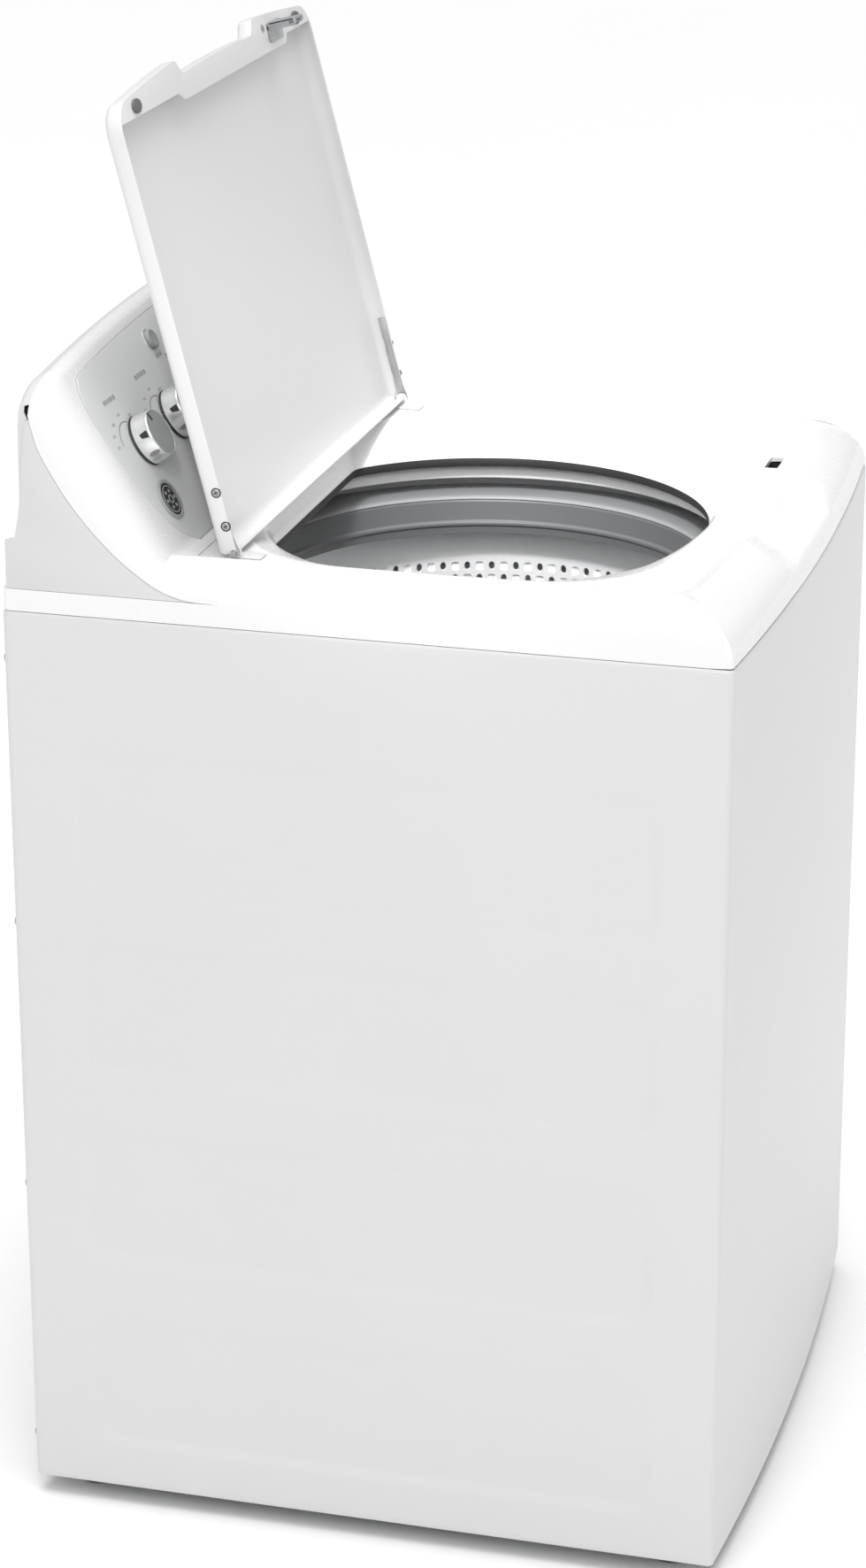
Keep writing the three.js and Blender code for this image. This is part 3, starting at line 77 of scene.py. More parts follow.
SHELL_LOW, SHELL_HIGH = millimetres("cabinet_shell")
HALF_WIDTH = SHELL_HIGH.x
BASE_Z, SEAM_Z = SHELL_LOW.z, SHELL_HIGH.z
SIDE_Y = SHELL_HIGH.y
BOW = -SHELL_LOW.y - SIDE_Y  # the front panel bulges this far at its middle
CORNER = 6
SHEET = 1.2

PRESSED_HALF_LENGTH, PRESSED_HEIGHT, PRESSED_RADIUS, PRESSED_DEPTH = 276, 136, 27, 2.4
PRESSED_BOTTOMS = (67, 263, 456, 648)

AXIS_Y = centre("balance_ring").y
OPENING_RADIUS, OPENING_REAR_Y = 216, 143
SEAT_Z, DECK_Z, CREST_Z, LIP_Z = 930, 955, 961, 926
LIP_BOTTOM_Z = 916
RECESS_HALF_WIDTH, RECESS_FRONT_Y, RECESS_RADIUS = 290, -281, 28
FRONT_BULGE = 16  # the fronts of the recess and of the lid bow forward by this much

PANEL_FOOT = Vector((0, 185, 954))
PANEL_LEAN = math.atan2(162, 97)
ROLL_START_X = 296
LEAN_Y, LEAN_Z = math.cos(PANEL_LEAN), math.sin(PANEL_LEAN)

HINGE = Vector((0, 134.5, 961.5))
PIN_RADIUS = 2.6
OPEN_ANGLE = math.radians(104.5)
LID_HALF_WIDTH, LID_LENGTH, LID_TAIL = 286, 411, 1
LID_TOP, LID_LIP = 14.2, -3.2
NOTCH_HALF_WIDTH, NOTCH_DEPTH, NOTCH_SLOPE = 103, 15, 12
SLOT_X, SLOT_Y, SLOT_LENGTH, SLOT_WIDTH = 160, -277, 38, 13

PANEL = Matrix.Translation(PANEL_FOOT * MM) @ Matrix.Rotation(PANEL_LEAN, 4, "X")
LID = Matrix.Translation(HINGE * MM) @ Matrix.Rotation(-OPEN_ANGLE, 4, "X")

ROUND = 160  # segments round the wash axis


# ---- plane curves

def lerp(a, b, t):
    return a + (b - a) * t


def even(a, b, steps):
    """Evenly spaced values from a to b, both included."""
    return [lerp(a, b, i / steps) for i in range(steps + 1)]


def clamp01(value):
    return min(max(value, 0.0), 1.0)


def smoothstep(value):
    t = clamp01(value)
    return t * t * (3 - 2 * t)


def arc(cx, cy, radius, start, end, steps):
    """Points along an arc, angles in degrees."""
    angles = [math.radians(a) for a in even(start, end, steps)]
    return [(cx + radius * math.cos(a), cy + radius * math.sin(a)) for a in angles]


def rounded_rectangle(x0, x1, y0, y1, radius, steps=8):
    return (arc(x1 - radius, y0 + radius, radius, -90, 0, steps)
            + arc(x1 - radius, y1 - radius, radius, 0, 90, steps)
            + arc(x0 + radius, y1 - radius, radius, 90, 180, steps)
            + arc(x0 + radius, y0 + radius, radius, 180, 270, steps))


def flowing(points, steps):
    """A smooth curve through the points (tuples of any length)."""
    last = len(points) - 1
    made = []
    for i in range(last):
        p = [points[min(max(i + k, 0), last)] for k in (-1, 0, 1, 2)]
        for s in range(steps):
            t = s / steps
            w = (-t + 2 * t * t - t ** 3, 2 - 5 * t * t + 3 * t ** 3,
                 t + 4 * t * t - 3 * t ** 3, t ** 3 - t * t)
            made.append(tuple(sum(w[k] * p[k][n] for k in range(4)) / 2 for n in range(len(p[0]))))
    return made + [tuple(points[-1])]


def eased(points, radius, steps=4, closed=True):
    """The polyline with its corners rounded."""
    count = len(points)
    made = []
    for i, corner in enumerate(points):
        if not closed and i in (0, count - 1):
            made.append(tuple(corner))
            continue
        here = Vector(corner)
        before, after = Vector(points[i - 1]) - here, Vector(points[(i + 1) % count]) - here
        a = here + before * min(radius / max(before.length, 1e-9), 0.45)
        b = here + after * min(radius / max(after.length, 1e-9), 0.45)
        for s in range(steps + 1):
            t = s / steps
            made.append(tuple(a * (1 - t) ** 2 + here * 2 * t * (1 - t) + b * t * t))
    return made


def oval(cx, cy, half_x, half_y, steps):
    turns = (2 * math.pi * k / steps for k in range(steps))
    return [(cx + half_x * math.cos(a), cy + half_y * math.sin(a)) for a in turns]


def span(side, near, far):
    """Two distances from the middle plane, on one side (-1 or 1) of it, lowest first."""
    return sorted((side * near, side * far))


def bulged(outline, half_width, front_start):
    """The outline with its front bowed forward."""
    def bulge(x, y):
        return FRONT_BULGE * (1 - (x / half_width) ** 2) if y < front_start else 0
    return [(x, y - bulge(x, y)) for x, y in outline]


# ---- meshes

def shape(name, points, faces, matrix=None):
    """A mesh object from points in millimetres, its faces turned outwards."""
    mesh = bpy.data.meshes.new(name)
    mesh.from_pydata([Vector(p) * MM for p in points], [], faces)
    work = bmesh.new()
    work.from_mesh(mesh)
    bmesh.ops.remove_doubles(work, verts=work.verts, dist=1e-6)
    bmesh.ops.recalc_face_normals(work, faces=work.faces)
    work.to_mesh(mesh)
    work.free()
    if matrix is not None:
        mesh.transform(matrix)
    obj = bpy.data.objects.new(name, mesh)
    bpy.context.scene.collection.objects.link(obj)
    return obj


def bake(obj):
    """Applies the object's modifiers."""
    graph = bpy.context.evaluated_depsgraph_get()
    mesh = bpy.data.meshes.new_from_object(obj.evaluated_get(graph))
    obj.modifiers.clear()
    obj.data = mesh
    return obj


def cut(obj, *cutters, operation="DIFFERENCE"):
    for cutter in cutters:
        modifier = obj.modifiers.new("cut", "BOOLEAN")
        modifier.operation, modifier.solver, modifier.object = operation, "EXACT", cutter
        bake(obj)
        bpy.data.objects.remove(cutter)
    return obj


def bevel(obj, width, segments=3, angle=40):
    modifier = obj.modifiers.new("bevel", "BEVEL")
    modifier.width, modifier.segments = width * MM, segments
    modifier.limit_method, modifier.angle_limit = "ANGLE", math.radians(angle)
    modifier.use_clamp_overlap = True
    return bake(obj)


def moved(obj, x=0.0, y=0.0, z=0.0, turn=0.0, axis="Z"):
    """Turns the mesh about an axis through the origin, in degrees, then shifts it."""
    place = Matrix.Translation(Vector((x, y, z)) * MM)
    obj.data.transform(place @ Matrix.Rotation(math.radians(turn), 4, axis))
    return obj


def merged(name, *objects):
    """One object from several that move together."""
    work = bmesh.new()
    for obj in objects:
        work.from_mesh(obj.data)
        bpy.data.objects.remove(obj)
    mesh = bpy.data.meshes.new(name)
    work.to_mesh(mesh)
    work.free()
    made = bpy.data.objects.new(name, mesh)
    bpy.context.scene.collection.objects.link(made)
    return made


def settle(obj, material, body="cabinet", replaces=(), sharp=38):
    """Gives a finished mesh its shading, material and body."""
    obj.data.shade_smooth()
    obj.data.set_sharp_from_angle(angle=math.radians(sharp))
    obj.data.materials.clear()
    obj.data.materials.append(material)
    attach(obj, body)
    if replaces:
        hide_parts(*replaces)
    return obj


def lathe(name, profile, x=0.0, y=None, steps=ROUND, matrix=None):
    """(radius, z) points turned about a vertical axis; a profile off the axis is closed on itself."""
    y = AXIS_Y if y is None else y
    ends_on_axis = profile[0][0] == 0 and profile[-1][0] == 0
    count = len(profile)
    points, faces = [], []
    for s in range(steps):
        c, n = math.cos(2 * math.pi * s / steps), math.sin(2 * math.pi * s / steps)
        points += [(x + r * c, y + r * n, z) for r, z in profile]
    for s in range(steps):
        here, there = s * count, (s + 1) % steps * count
        for i in range(count - 1 if ends_on_axis else count):
            j = (i + 1) % count
            faces.append((here + i, there + i, there + j, here + j))
    return shape(name, points, faces, matrix)


def prism(name, outline, z0, z1, matrix=None):
    """An upright prism over an outline of (x, y)."""
    count = len(outline)
    points = [(x, y, z0) for x, y in outline] + [(x, y, z1) for x, y in outline]
    faces = [tuple(range(count))[::-1], tuple(range(count, 2 * count))]
    faces += [(i, (i + 1) % count, count + (i + 1) % count, count + i) for i in range(count)]
    return shape(name, points, faces, matrix)


# Turn a prism over (y, z) so that it runs along X, or one over (x, z) so that it runs towards -Y.
ALONG_X = Matrix(((0, 0, 1, 0), (1, 0, 0, 0), (0, 1, 0, 0), (0, 0, 0, 1)))
ALONG_Y = Matrix(((1, 0, 0, 0), (0, 0, -1, 0), (0, 1, 0, 0), (0, 0, 0, 1)))


def block(name, x0, x1, y0, y1, z0, z1):
    return prism(name, [(x0, y0), (x1, y0), (x1, y1), (x0, y1)], z0, z1)


def loft(name, rings, wrapped=False):
    """A skin through closed rings; a wrapped loft joins its last ring to its first, any other is capped."""
    count = len(rings[0])
    points = [p for ring in rings for p in ring]
    faces = []
    for r in range(len(rings) if wrapped else len(rings) - 1):
        here, there = r * count, (r + 1) % len(rings) * count
        for i in range(count):
            j = (i + 1) % count
            faces.append((here + i, here + j, there + j, there + i))
    if not wrapped:
        last = (len(rings) - 1) * count
        faces += [tuple(range(count))[::-1], tuple(range(last, last + count))]
    return shape(name, points, faces)


def sheet(name, rows, thickness, outward=1):
    """A shell of even thickness behind a grid of (x, y, z) rows."""
    height, width = len(rows), len(rows[0])
    grid = [[Vector(p) for p in row] for row in rows]
    front = [p for row in grid for p in row]
    back = []
    for i in range(height):
        for j in range(width):
            along = grid[i][min(j + 1, width - 1)] - grid[i][max(j - 1, 0)]
            across = grid[min(i + 1, height - 1)][j] - grid[max(i - 1, 0)][j]
            back.append(grid[i][j] - along.cross(across).normalized() * thickness * outward)
    shift = height * width
    faces = []
    for i in range(height - 1):
        for j in range(width - 1):
            a, b, c, d = i * width + j, i * width + j + 1, (i + 1) * width + j + 1, (i + 1) * width + j
            faces += [(a, b, c, d), (d + shift, c + shift, b + shift, a + shift)]
    rim = (list(range(width)) + [i * width + width - 1 for i in range(1, height)]
           + [(height - 1) * width + j for j in range(width - 2, -1, -1)]
           + [i * width for i in range(height - 2, 0, -1)])
    faces += [(rim[k], rim[(k + 1) % len(rim)], rim[(k + 1) % len(rim)] + shift, rim[k] + shift)
              for k in range(len(rim))]
    return shape(name, front + back, faces)


def tube(name, path, radius, sides):
    """A round wire along a path of (x, y, z)."""
    path = [Vector(p) for p in path]
    side = Vector((0.3, 0.5, 0.81))
    rings = []
    for i, p in enumerate(path):
        along = (path[min(i + 1, len(path) - 1)] - path[max(i - 1, 0)]).normalized()
        side = (side - along * side.dot(along)).normalized()
        other = along.cross(side)
        rings.append([p + (side * math.cos(a) + other * math.sin(a)) * radius
                      for a in (2 * math.pi * k / sides for k in range(sides))])
    return loft(name, rings)


# ---- finishes

def finish(name, colour, roughness, metallic=0.0, spread=0.02, blotch=6.0, grain=900.0, bump=0.02,
           stretch=(1, 1, 1), rough_spread=0.05, coat=0.0):
    """A procedural finish: slow colour drift, uneven gloss and a fine grain, in the object's own space."""
    material = bpy.data.materials.new(name)
    material.use_nodes = True
    nodes, links = material.node_tree.nodes, material.node_tree.links
    shader = nodes["Principled BSDF"]
    shader.inputs["Metallic"].default_value = metallic
    shader.inputs["Coat Weight"].default_value = coat
    shader.inputs["Coat Roughness"].default_value = 0.06
    place = nodes.new("ShaderNodeTexCoord")
    mapping = nodes.new("ShaderNodeMapping")
    mapping.inputs["Scale"].default_value = stretch
    links.new(place.outputs["Object"], mapping.inputs["Vector"])

    def noise(scale, detail, source):
        node = nodes.new("ShaderNodeTexNoise")
        node.inputs["Scale"].default_value = scale
        node.inputs["Detail"].default_value = detail
        links.new(source, node.inputs["Vector"])
        return node.outputs["Fac"]

    drift = noise(blotch, 3, place.outputs["Object"])
    fine = noise(grain, 4, mapping.outputs["Vector"])
    ramp = nodes.new("ShaderNodeValToRGB")
    ramp.color_ramp.elements[0].position, ramp.color_ramp.elements[1].position = 0.3, 0.7
    for element, gain in zip(ramp.color_ramp.elements, (1 - spread, 1 + spread)):
        element.color = (*[clamp01(c * gain) for c in colour], 1)
    links.new(drift, ramp.inputs["Fac"])
    links.new(ramp.outputs["Color"], shader.inputs["Base Color"])
    gloss = nodes.new("ShaderNodeMapRange")
    gloss.inputs["From Min"].default_value, gloss.inputs["From Max"].default_value = 0.3, 0.7
    gloss.inputs["To Min"].default_value = max(roughness - rough_spread, 0.02)
    gloss.inputs["To Max"].default_value = roughness + rough_spread
    links.new(fine, gloss.inputs["Value"])
    links.new(gloss.outputs["Result"], shader.inputs["Roughness"])
    relief = nodes.new("ShaderNodeBump")
    relief.inputs["Strength"].default_value = 1.0
    relief.inputs["Distance"].default_value = bump * MM
    links.new(fine, relief.inputs["Height"])
    links.new(relief.outputs["Normal"], shader.inputs["Normal"])
    return material


def grey(value, cool=0.0):
    return value, value + cool, value + 2 * cool


ENAMEL = finish("enamel", grey(0.645), 0.38, spread=0.008, blotch=4, grain=420, bump=0.012, coat=0.2)
GLOSS = finish("gloss_white", grey(0.8), 0.24, spread=0.006, blotch=4, grain=300, bump=0.004, coat=0.3)
LID_ENAMEL = finish("lid_enamel", grey(0.67), 0.4, spread=0.008, blotch=4, grain=420, bump=0.012, coat=0.2)
CAP_GREY = finish("cap_grey", (0.63, 0.63, 0.635), 0.5, spread=0.012, grain=1600, bump=0.03)
SILVER = finish("silver_lacquer", grey(0.645, 0.005), 0.45, spread=0.02, grain=2400, bump=0.01,
                rough_spread=0.1)
CHROME = finish("chrome", grey(0.82, 0.005), 0.2, metallic=0.7, spread=0.02, grain=700, bump=0.003)
SATIN = finish("satin_face", grey(0.38, 0.005), 0.45, metallic=0.1, spread=0.03, grain=2600, bump=0.008)
STAINLESS = finish("stainless", grey(0.94, 0.005), 0.4, metallic=0.3, spread=0.03, blotch=9, grain=160,
                   stretch=(1, 1, 26), bump=0.01, rough_spread=0.1)
ZINC = finish("zinc", grey(0.42, 0.01), 0.42, metallic=0.8, spread=0.12, blotch=40, grain=500, bump=0.01,
              rough_spread=0.12)
SCREW = finish("screw_steel", grey(0.36, 0.005), 0.4, metallic=0.4, spread=0.1, grain=900, bump=0.01)
CAST = finish("cast_aluminium", grey(0.48, 0.005), 0.55, metallic=0.9, spread=0.06, blotch=30, grain=1400,
              bump=0.12)
RING_GREY = finish("ring_grey", grey(0.13, 0.003), 0.45, spread=0.03, grain=1500, bump=0.02)
LIGHT_PLASTIC = finish("light_plastic", grey(0.68, 0.01), 0.45, spread=0.02, grain=1500, bump=0.02)
# Near black: the dark plastic parts, and also the painted shade ring at each knob's foot and a painted
# reflection on each knob's side.
NEAR_BLACK = finish("dark_plastic", (0.02, 0.02, 0.021), 0.5, spread=0.15, grain=1500, bump=0.03)
# Near black for painted shade: the band under the cover's lip and the strip in the cover's seam.
SHADE_BLACK = finish("painted_shade", (0.03, 0.03, 0.032), 0.6, spread=0.08, grain=1800, bump=0.03)
RUBBER = finish("rubber", (0.12, 0.12, 0.122), 0.8, spread=0.1, grain=2200, bump=0.06)
# Grey print for the panel's scales, also used for a painted reflection on each knob's side.
PRINT_AND_REFLECTION = finish("print_and_reflection_grey", (0.24, 0.24, 0.245), 0.5, spread=0.04, grain=2000, bump=0.004)
PALE_PRINT = finish("print_pale", (0.4, 0.4, 0.41), 0.5, spread=0.04, grain=2000, bump=0.004)
# Lighter grey for the balance ring's upward face: painted light on the face that looks up.
RING_TOP_LIGHT = finish("ring_top_painted_light", grey(0.3, 0.005), 0.45, spread=0.03, grain=1500, bump=0.02)
RING_WHITE = finish("ring_white", grey(0.95), 0.3, spread=0.01, grain=400, bump=0.01)
FLOOR = finish("floor", grey(0.97), 0.8, spread=0.004, blotch=1.5, grain=60, bump=0.02)
RED_MARK = finish("mark_red", (0.45, 0.03, 0.025), 0.5, spread=0.05, grain=1500, bump=0.02)
BLUE_MARK = finish("mark_blue", (0.03, 0.08, 0.42), 0.5, spread=0.05, grain=1500, bump=0.02)

SLOT_FINISH = {
    "cabinet_paint": ENAMEL, "gloss_white": GLOSS, "lid_paint": LID_ENAMEL, "cap_grey": CAP_GREY,
    "panel_silver": SILVER, "chrome_trim": CHROME, "stainless": STAINLESS, "zinc_steel": ZINC,
    "cast_aluminium": CAST, "grey_plastic": RING_GREY, "light_plastic": LIGHT_PLASTIC,
    "dark_plastic": NEAR_BLACK, "rubber": RUBBER,
}
for part in frame["record"]["subparts"]:
    node = frame["nodes"][part["node"]]
    node.data.materials.clear()
    node.data.materials.append(SLOT_FINISH[part["material_slot"]])


# ---- cabinet

def front_y(x):
    return -SIDE_Y - BOW * (1 - (x / HALF_WIDTH) ** 2)


def cabinet_path(side_steps=140, front_steps=60):
    """Plan path from the right rear flange round the front to the left one."""
    inner, flange = HALF_WIDTH - CORNER, 22
    half = [(HALF_WIDTH - flange, SIDE_Y)] + arc(inner, SIDE_Y - CORNER, CORNER, 90, 0, 6)
    side_end = -SIDE_Y + CORNER - 1
    half += [(HALF_WIDTH, lerp(SIDE_Y - CORNER, side_end, i / side_steps)) for i in range(1, side_steps)]
    half += arc(inner, side_end, CORNER, 0, -70, 6)
    reach = HALF_WIDTH - 1.2 * CORNER
    front = [(x, front_y(x)) for x in even(reach, -reach, front_steps)]
    return half + front + [(-x, y) for x, y in reversed(half)]


def pressed(y, z):
    """How far the side is pressed in at a point: four rounded fields, deepest along their lower edges."""
    for bottom in PRESSED_BOTTOMS:
        middle = bottom + PRESSED_HEIGHT / 2
        dy = abs(y) - PRESSED_HALF_LENGTH + PRESSED_RADIUS
        dz = abs(z - middle) - PRESSED_HEIGHT / 2 + PRESSED_RADIUS
        outside = math.hypot(max(dy, 0), max(dz, 0)) + min(max(dy, dz), 0) - PRESSED_RADIUS
        if outside < 0:
            low = 1 - smoothstep((z - bottom) / PRESSED_HEIGHT)
            return PRESSED_DEPTH * lerp(0.35, 1, low) * smoothstep(-outside / 6)
    return 0


def normals_2d(path):
    made = []
    for i in range(len(path)):
        (x0, y0), (x1, y1) = path[max(i - 1, 0)], path[min(i + 1, len(path) - 1)]
        length = math.hypot(x1 - x0, y1 - y0)
        made.append((-(y1 - y0) / length, (x1 - x0) / length))
    return made


def cabinet():
    path = cabinet_path()
    outward = [(-nx, -ny) if nx * x + ny * y < 0 else (nx, ny)
               for (nx, ny), (x, y) in zip(normals_2d(path), path)]
    rise = [(5, BASE_Z), (1.6, BASE_Z), (0.4, BASE_Z + 0.6), (0, BASE_Z + 2)]
    steps = 178
    levels = rise + [(0, lerp(BASE_Z + 2, SEAM_Z - 2, i / steps)) for i in range(1, steps)]
    levels += [(0, SEAM_Z - 2), (0.4, SEAM_Z - 0.6), (1.6, SEAM_Z), (5, SEAM_Z)]
    rows = []
    for inset, z in levels:
        row = []
        for (x, y), (nx, ny) in zip(path, outward):
            depth = pressed(y, z) if abs(x) >= HALF_WIDTH - 1e-6 else 0
            row.append((x - nx * inset - math.copysign(depth, x), y - ny * inset, z))
        rows.append(row)
    skin = sheet("cabinet_skin", rows, SHEET)
    settle(skin, ENAMEL, replaces=["cabinet_shell"], sharp=50)

    rod, rear_rod = centre("suspension_rod_front_left"), centre("suspension_rod_rear_left")
    gussets = []
    for side in (-1, 1):
        wall = side * (HALF_WIDTH - 1.6)
        for y, edge in ((rod.y, -SIDE_Y + 3), (rear_rod.y, SIDE_Y - 9)):
            outline = [(wall, edge - math.copysign(160, edge)), (wall, edge),
                       (side * 200, edge), (side * 222, math.copysign(225, edge))]
            plate = prism("gusset", eased(outline, 8), 877, 880)
            hole = lathe("hole", [(0, 860), (6, 860), (6, 890), (0, 890)], side * abs(rod.x), y, 24)
            gussets.append(cut(plate, hole))
    settle(bevel(merged("rod_gussets", *gussets), 0.5), ENAMEL)


cabinet()


def port(node):
    """Where a fitting's axis meets the rear panel, (x, z)."""
    middle = centre(node)
    return middle.x, middle.z


BACK_FOOT_Y = 331.5  # outer face of the console's back cover near its foot


def rear_panel():
    low, high = millimetres("rear_panel")

    def stamped(x, z):
        """How deep the two upright fields are pressed in at a point."""
        for middle in (-160, 160):
            dx, dz = abs(x - middle) - 110 + 20, abs(z - 390) - 300 + 20
            outside = math.hypot(max(dx, 0), max(dz, 0)) + min(max(dx, dz), 0) - 20
            if outside < 0:
                return 4 * smoothstep(-outside / 7)
        return 0

    columns, levels = 132, 172
    rows = []
    for z in even(low.z, high.z, levels):
        rows.append([(x, high.y - stamped(x, z), z) for x in even(low.x, high.x, columns)])
    panel = sheet("rear_skin", rows, SHEET, outward=-1)
    holes = []
    for node, radius in (("drain_spout", 20.3), ("cord_gland", 11.3)):
        x, z = port(node)
        drill = [(0, -360), (radius, -360), (radius, -300), (0, -300)]
        holes.append(lathe("hole", drill, x, z, 40, ALONG_Y))
    x, z = port("inlet_valve")
    holes.append(block("hole", x - 45, x + 45, high.y - 20, high.y + 20, z - 18, z + 18))
    settle(cut(panel, *holes), ZINC, replaces=["rear_panel"])

    screws = [screw_head(side * 330, z) for side in (-1, 1) for z in (60, 330, 600, 860)]
    screws += [screw_head(x, 950, BACK_FOOT_Y) for x in (-300, -100, 100, 300)]
    settle(merged("rear_screws", *screws), ZINC)


def screw_head(x, z, face=SIDE_Y):
    """A hexagon washer head screw whose axis runs along Y, its washer on the face at that Y."""
    washer = lathe("washer", [(0, 0), (6, 0), (6, 0.8), (5.6, 1.1), (0, 1.1)], 0, 0, 32)
    head = lathe("head", [(0, 1.0), (4.2, 1.0), (4.2, 3.8), (3.6, 4.4), (0, 4.4)], 0, 0, 6)
    cut(head, block("slot", -4, 4, -0.5, 0.5, 3.4, 5))
    return moved(merged("screw", washer, head), x, face, z, -90, "X")


rear_panel()


# ---- top cover

def cabinet_outline(inset):
    """Closed plan outline, inset from the cabinet's."""
    half, rear, radius = HALF_WIDTH - inset, SIDE_Y - inset, max(CORNER - inset, 1)
    reach = half - 1.2 * radius
    front = [(x, -SIDE_Y + inset - BOW * (1 - (x / half) ** 2)) for x in even(-reach, reach, 48)]
    return (arc(half - radius, rear - radius, radius, 0, 90, 6)
            + arc(-half + radius, rear - radius, radius, 90, 180, 6)
            + arc(-half + radius, -SIDE_Y + inset + radius - 1, radius, 180, 250, 6)
            + front
            + arc(half - radius, -SIDE_Y + inset + radius - 1, radius, 290, 360, 6))


def opening_outline(grow=0):
    """The tub opening: a circle cut off straight at the rear, grown outwards."""
    radius, rear, corner = OPENING_RADIUS + grow, OPENING_REAR_Y + grow - AXIS_Y, 22 + grow
    corner_x = math.sqrt((radius - corner) ** 2 - (rear - corner) ** 2)
    angle = math.degrees(math.atan2(rear - corner, corner_x))
    return (arc(corner_x, AXIS_Y + rear - corner, corner, angle, 90, 12)
            + arc(-corner_x, AXIS_Y + rear - corner, corner, 90, 180 - angle, 12)
            + arc(0, AXIS_Y, radius, 180 - angle, 360 + angle, 160)[1:-1])


def recess_outline(inset):
    half, edge_y = RECESS_HALF_WIDTH - inset, RECESS_FRONT_Y + inset
    box = rounded_rectangle(-half, half, edge_y, 215 - inset, RECESS_RADIUS - inset / 2, 12)
    front = [(x, edge_y) for x in even(-240, 240, 24)]
    return bulged(box + front, RECESS_HALF_WIDTH, -200)


DISH = rounded_rectangle(-284, 284, -262, 158, 118, 20)


def spoke_hits(outline, angles):
    """Where spokes from the wash axis meet an outline."""
    hits = []
    for angle in angles:
        dx, dy, reach = math.cos(angle), math.sin(angle), 0
        for (x0, y0), (x1, y1) in zip(outline, outline[1:] + outline[:1]):
            ay, ex, ey = y0 - AXIS_Y, x1 - x0, y1 - y0
            det = ex * dy - ey * dx
            if abs(det) > 1e-9:
                along, share = (ex * ay - ey * x0) / det, (dx * ay - dy * x0) / det
                if -1e-9 <= share <= 1 + 1e-9:
                    reach = max(reach, along)
        hits.append((dx * reach, AXIS_Y + dy * reach))
    return hits


def cover_angles():
    """Directions of the cover's spokes from the wash axis, closer together at its four corners."""
    angles = [2 * math.pi * (i + 0.5) / 300 for i in range(300)]
    for y in (SIDE_Y - 1.8, -SIDE_Y + 1.8):
        for x in (-HALF_WIDTH + 1.8, HALF_WIDTH - 1.8):
            middle = math.atan2(y - AXIS_Y, x)
            angles += [middle + step * 0.0025 for step in range(-6, 7)]
    angles = sorted(a % (2 * math.pi) for a in angles)
    return [a for i, a in enumerate(angles) if i == 0 or a - angles[i - 1] > 0.0012]


SCOOP_HALF_WIDTH = 128


def scoop_share(x):
    """How much a point of the front edge belongs to the finger scoop."""
    return smoothstep((1 - abs(x) / SCOOP_HALF_WIDTH) / 0.4)


def console_sections():
    """Console front at its middle and its ends, (y, z) from the deck up and over the top."""
    def on_panel(up):
        return PANEL_FOOT.y + up * LEAN_Y, PANEL_FOOT.z + up * LEAN_Z
    middle = [(170, 955.6), (178, 956.4), (185.5, 958.5), on_panel(14), on_panel(50), on_panel(90),
              on_panel(130), on_panel(170), on_panel(203), (295, 1134.5), (301, 1136.5), (306, 1136)]
    end = [(132, 930.4), (161, 931.5), (184, 938), (203, 949), (228, 968.5), (251, 992),
           (271, 1017), (288, 1044), (298, 1063), (303, 1080), (305, 1088), (306, 1093)]
    return flowing(middle, 5), flowing(end, 5)


MIDDLE_SECTION, END_SECTION = console_sections()
ARCH_FALL = 15


def console_point(x, index):
    """A point of the bezel: its section changes from the middle one to the end one over the rolled end."""
    roll = clamp01((abs(x) - ROLL_START_X) / (HALF_WIDTH - ROLL_START_X))
    share = 1 - math.sqrt(1 - roll * roll)
    step = index / 5
    fall = ARCH_FALL * min((x / ROLL_START_X) ** 2, 1) * clamp01((step - 5) / 3)
    (my, mz), (ey, ez) = MIDDLE_SECTION[index], END_SECTION[index]
    return x, lerp(my - fall * LEAN_Y * 0.6, ey, share), lerp(mz - fall * LEAN_Z, ez, share)


def console_column(x):
    return [console_point(x, i) for i in range(len(END_SECTION))]


def console_columns():
    """Where the bezel's columns stand, closer together over the rolled ends."""
    rolled = HALF_WIDTH - ROLL_START_X
    roll = [ROLL_START_X + rolled * math.sin(math.radians(90 - 6 * i)) for i in range(16)]
    flat = [ROLL_START_X * (1 - i / 16) for i in range(1, 16)]
    right = roll + flat
    return [-x for x in right] + [0] + right[::-1]


def console_envelope(gap):
    """The room that the console takes, grown by a gap."""
    floor = SEAT_Z + 0.3 - 2 * gap
    def ring(x, shown):
        front = [(x, y - 3 * gap, z + gap) for _, y, z in console_column(shown)]
        return front + [(x, 350, front[-1][2]), (x, 350, floor), (x, front[0][1], floor)]
    xs = console_columns()
    rings = [ring(xs[0] - 2, xs[0])] + [ring(x, x) for x in xs] + [ring(xs[-1] + 2, xs[-1])]
    return loft("envelope", rings)


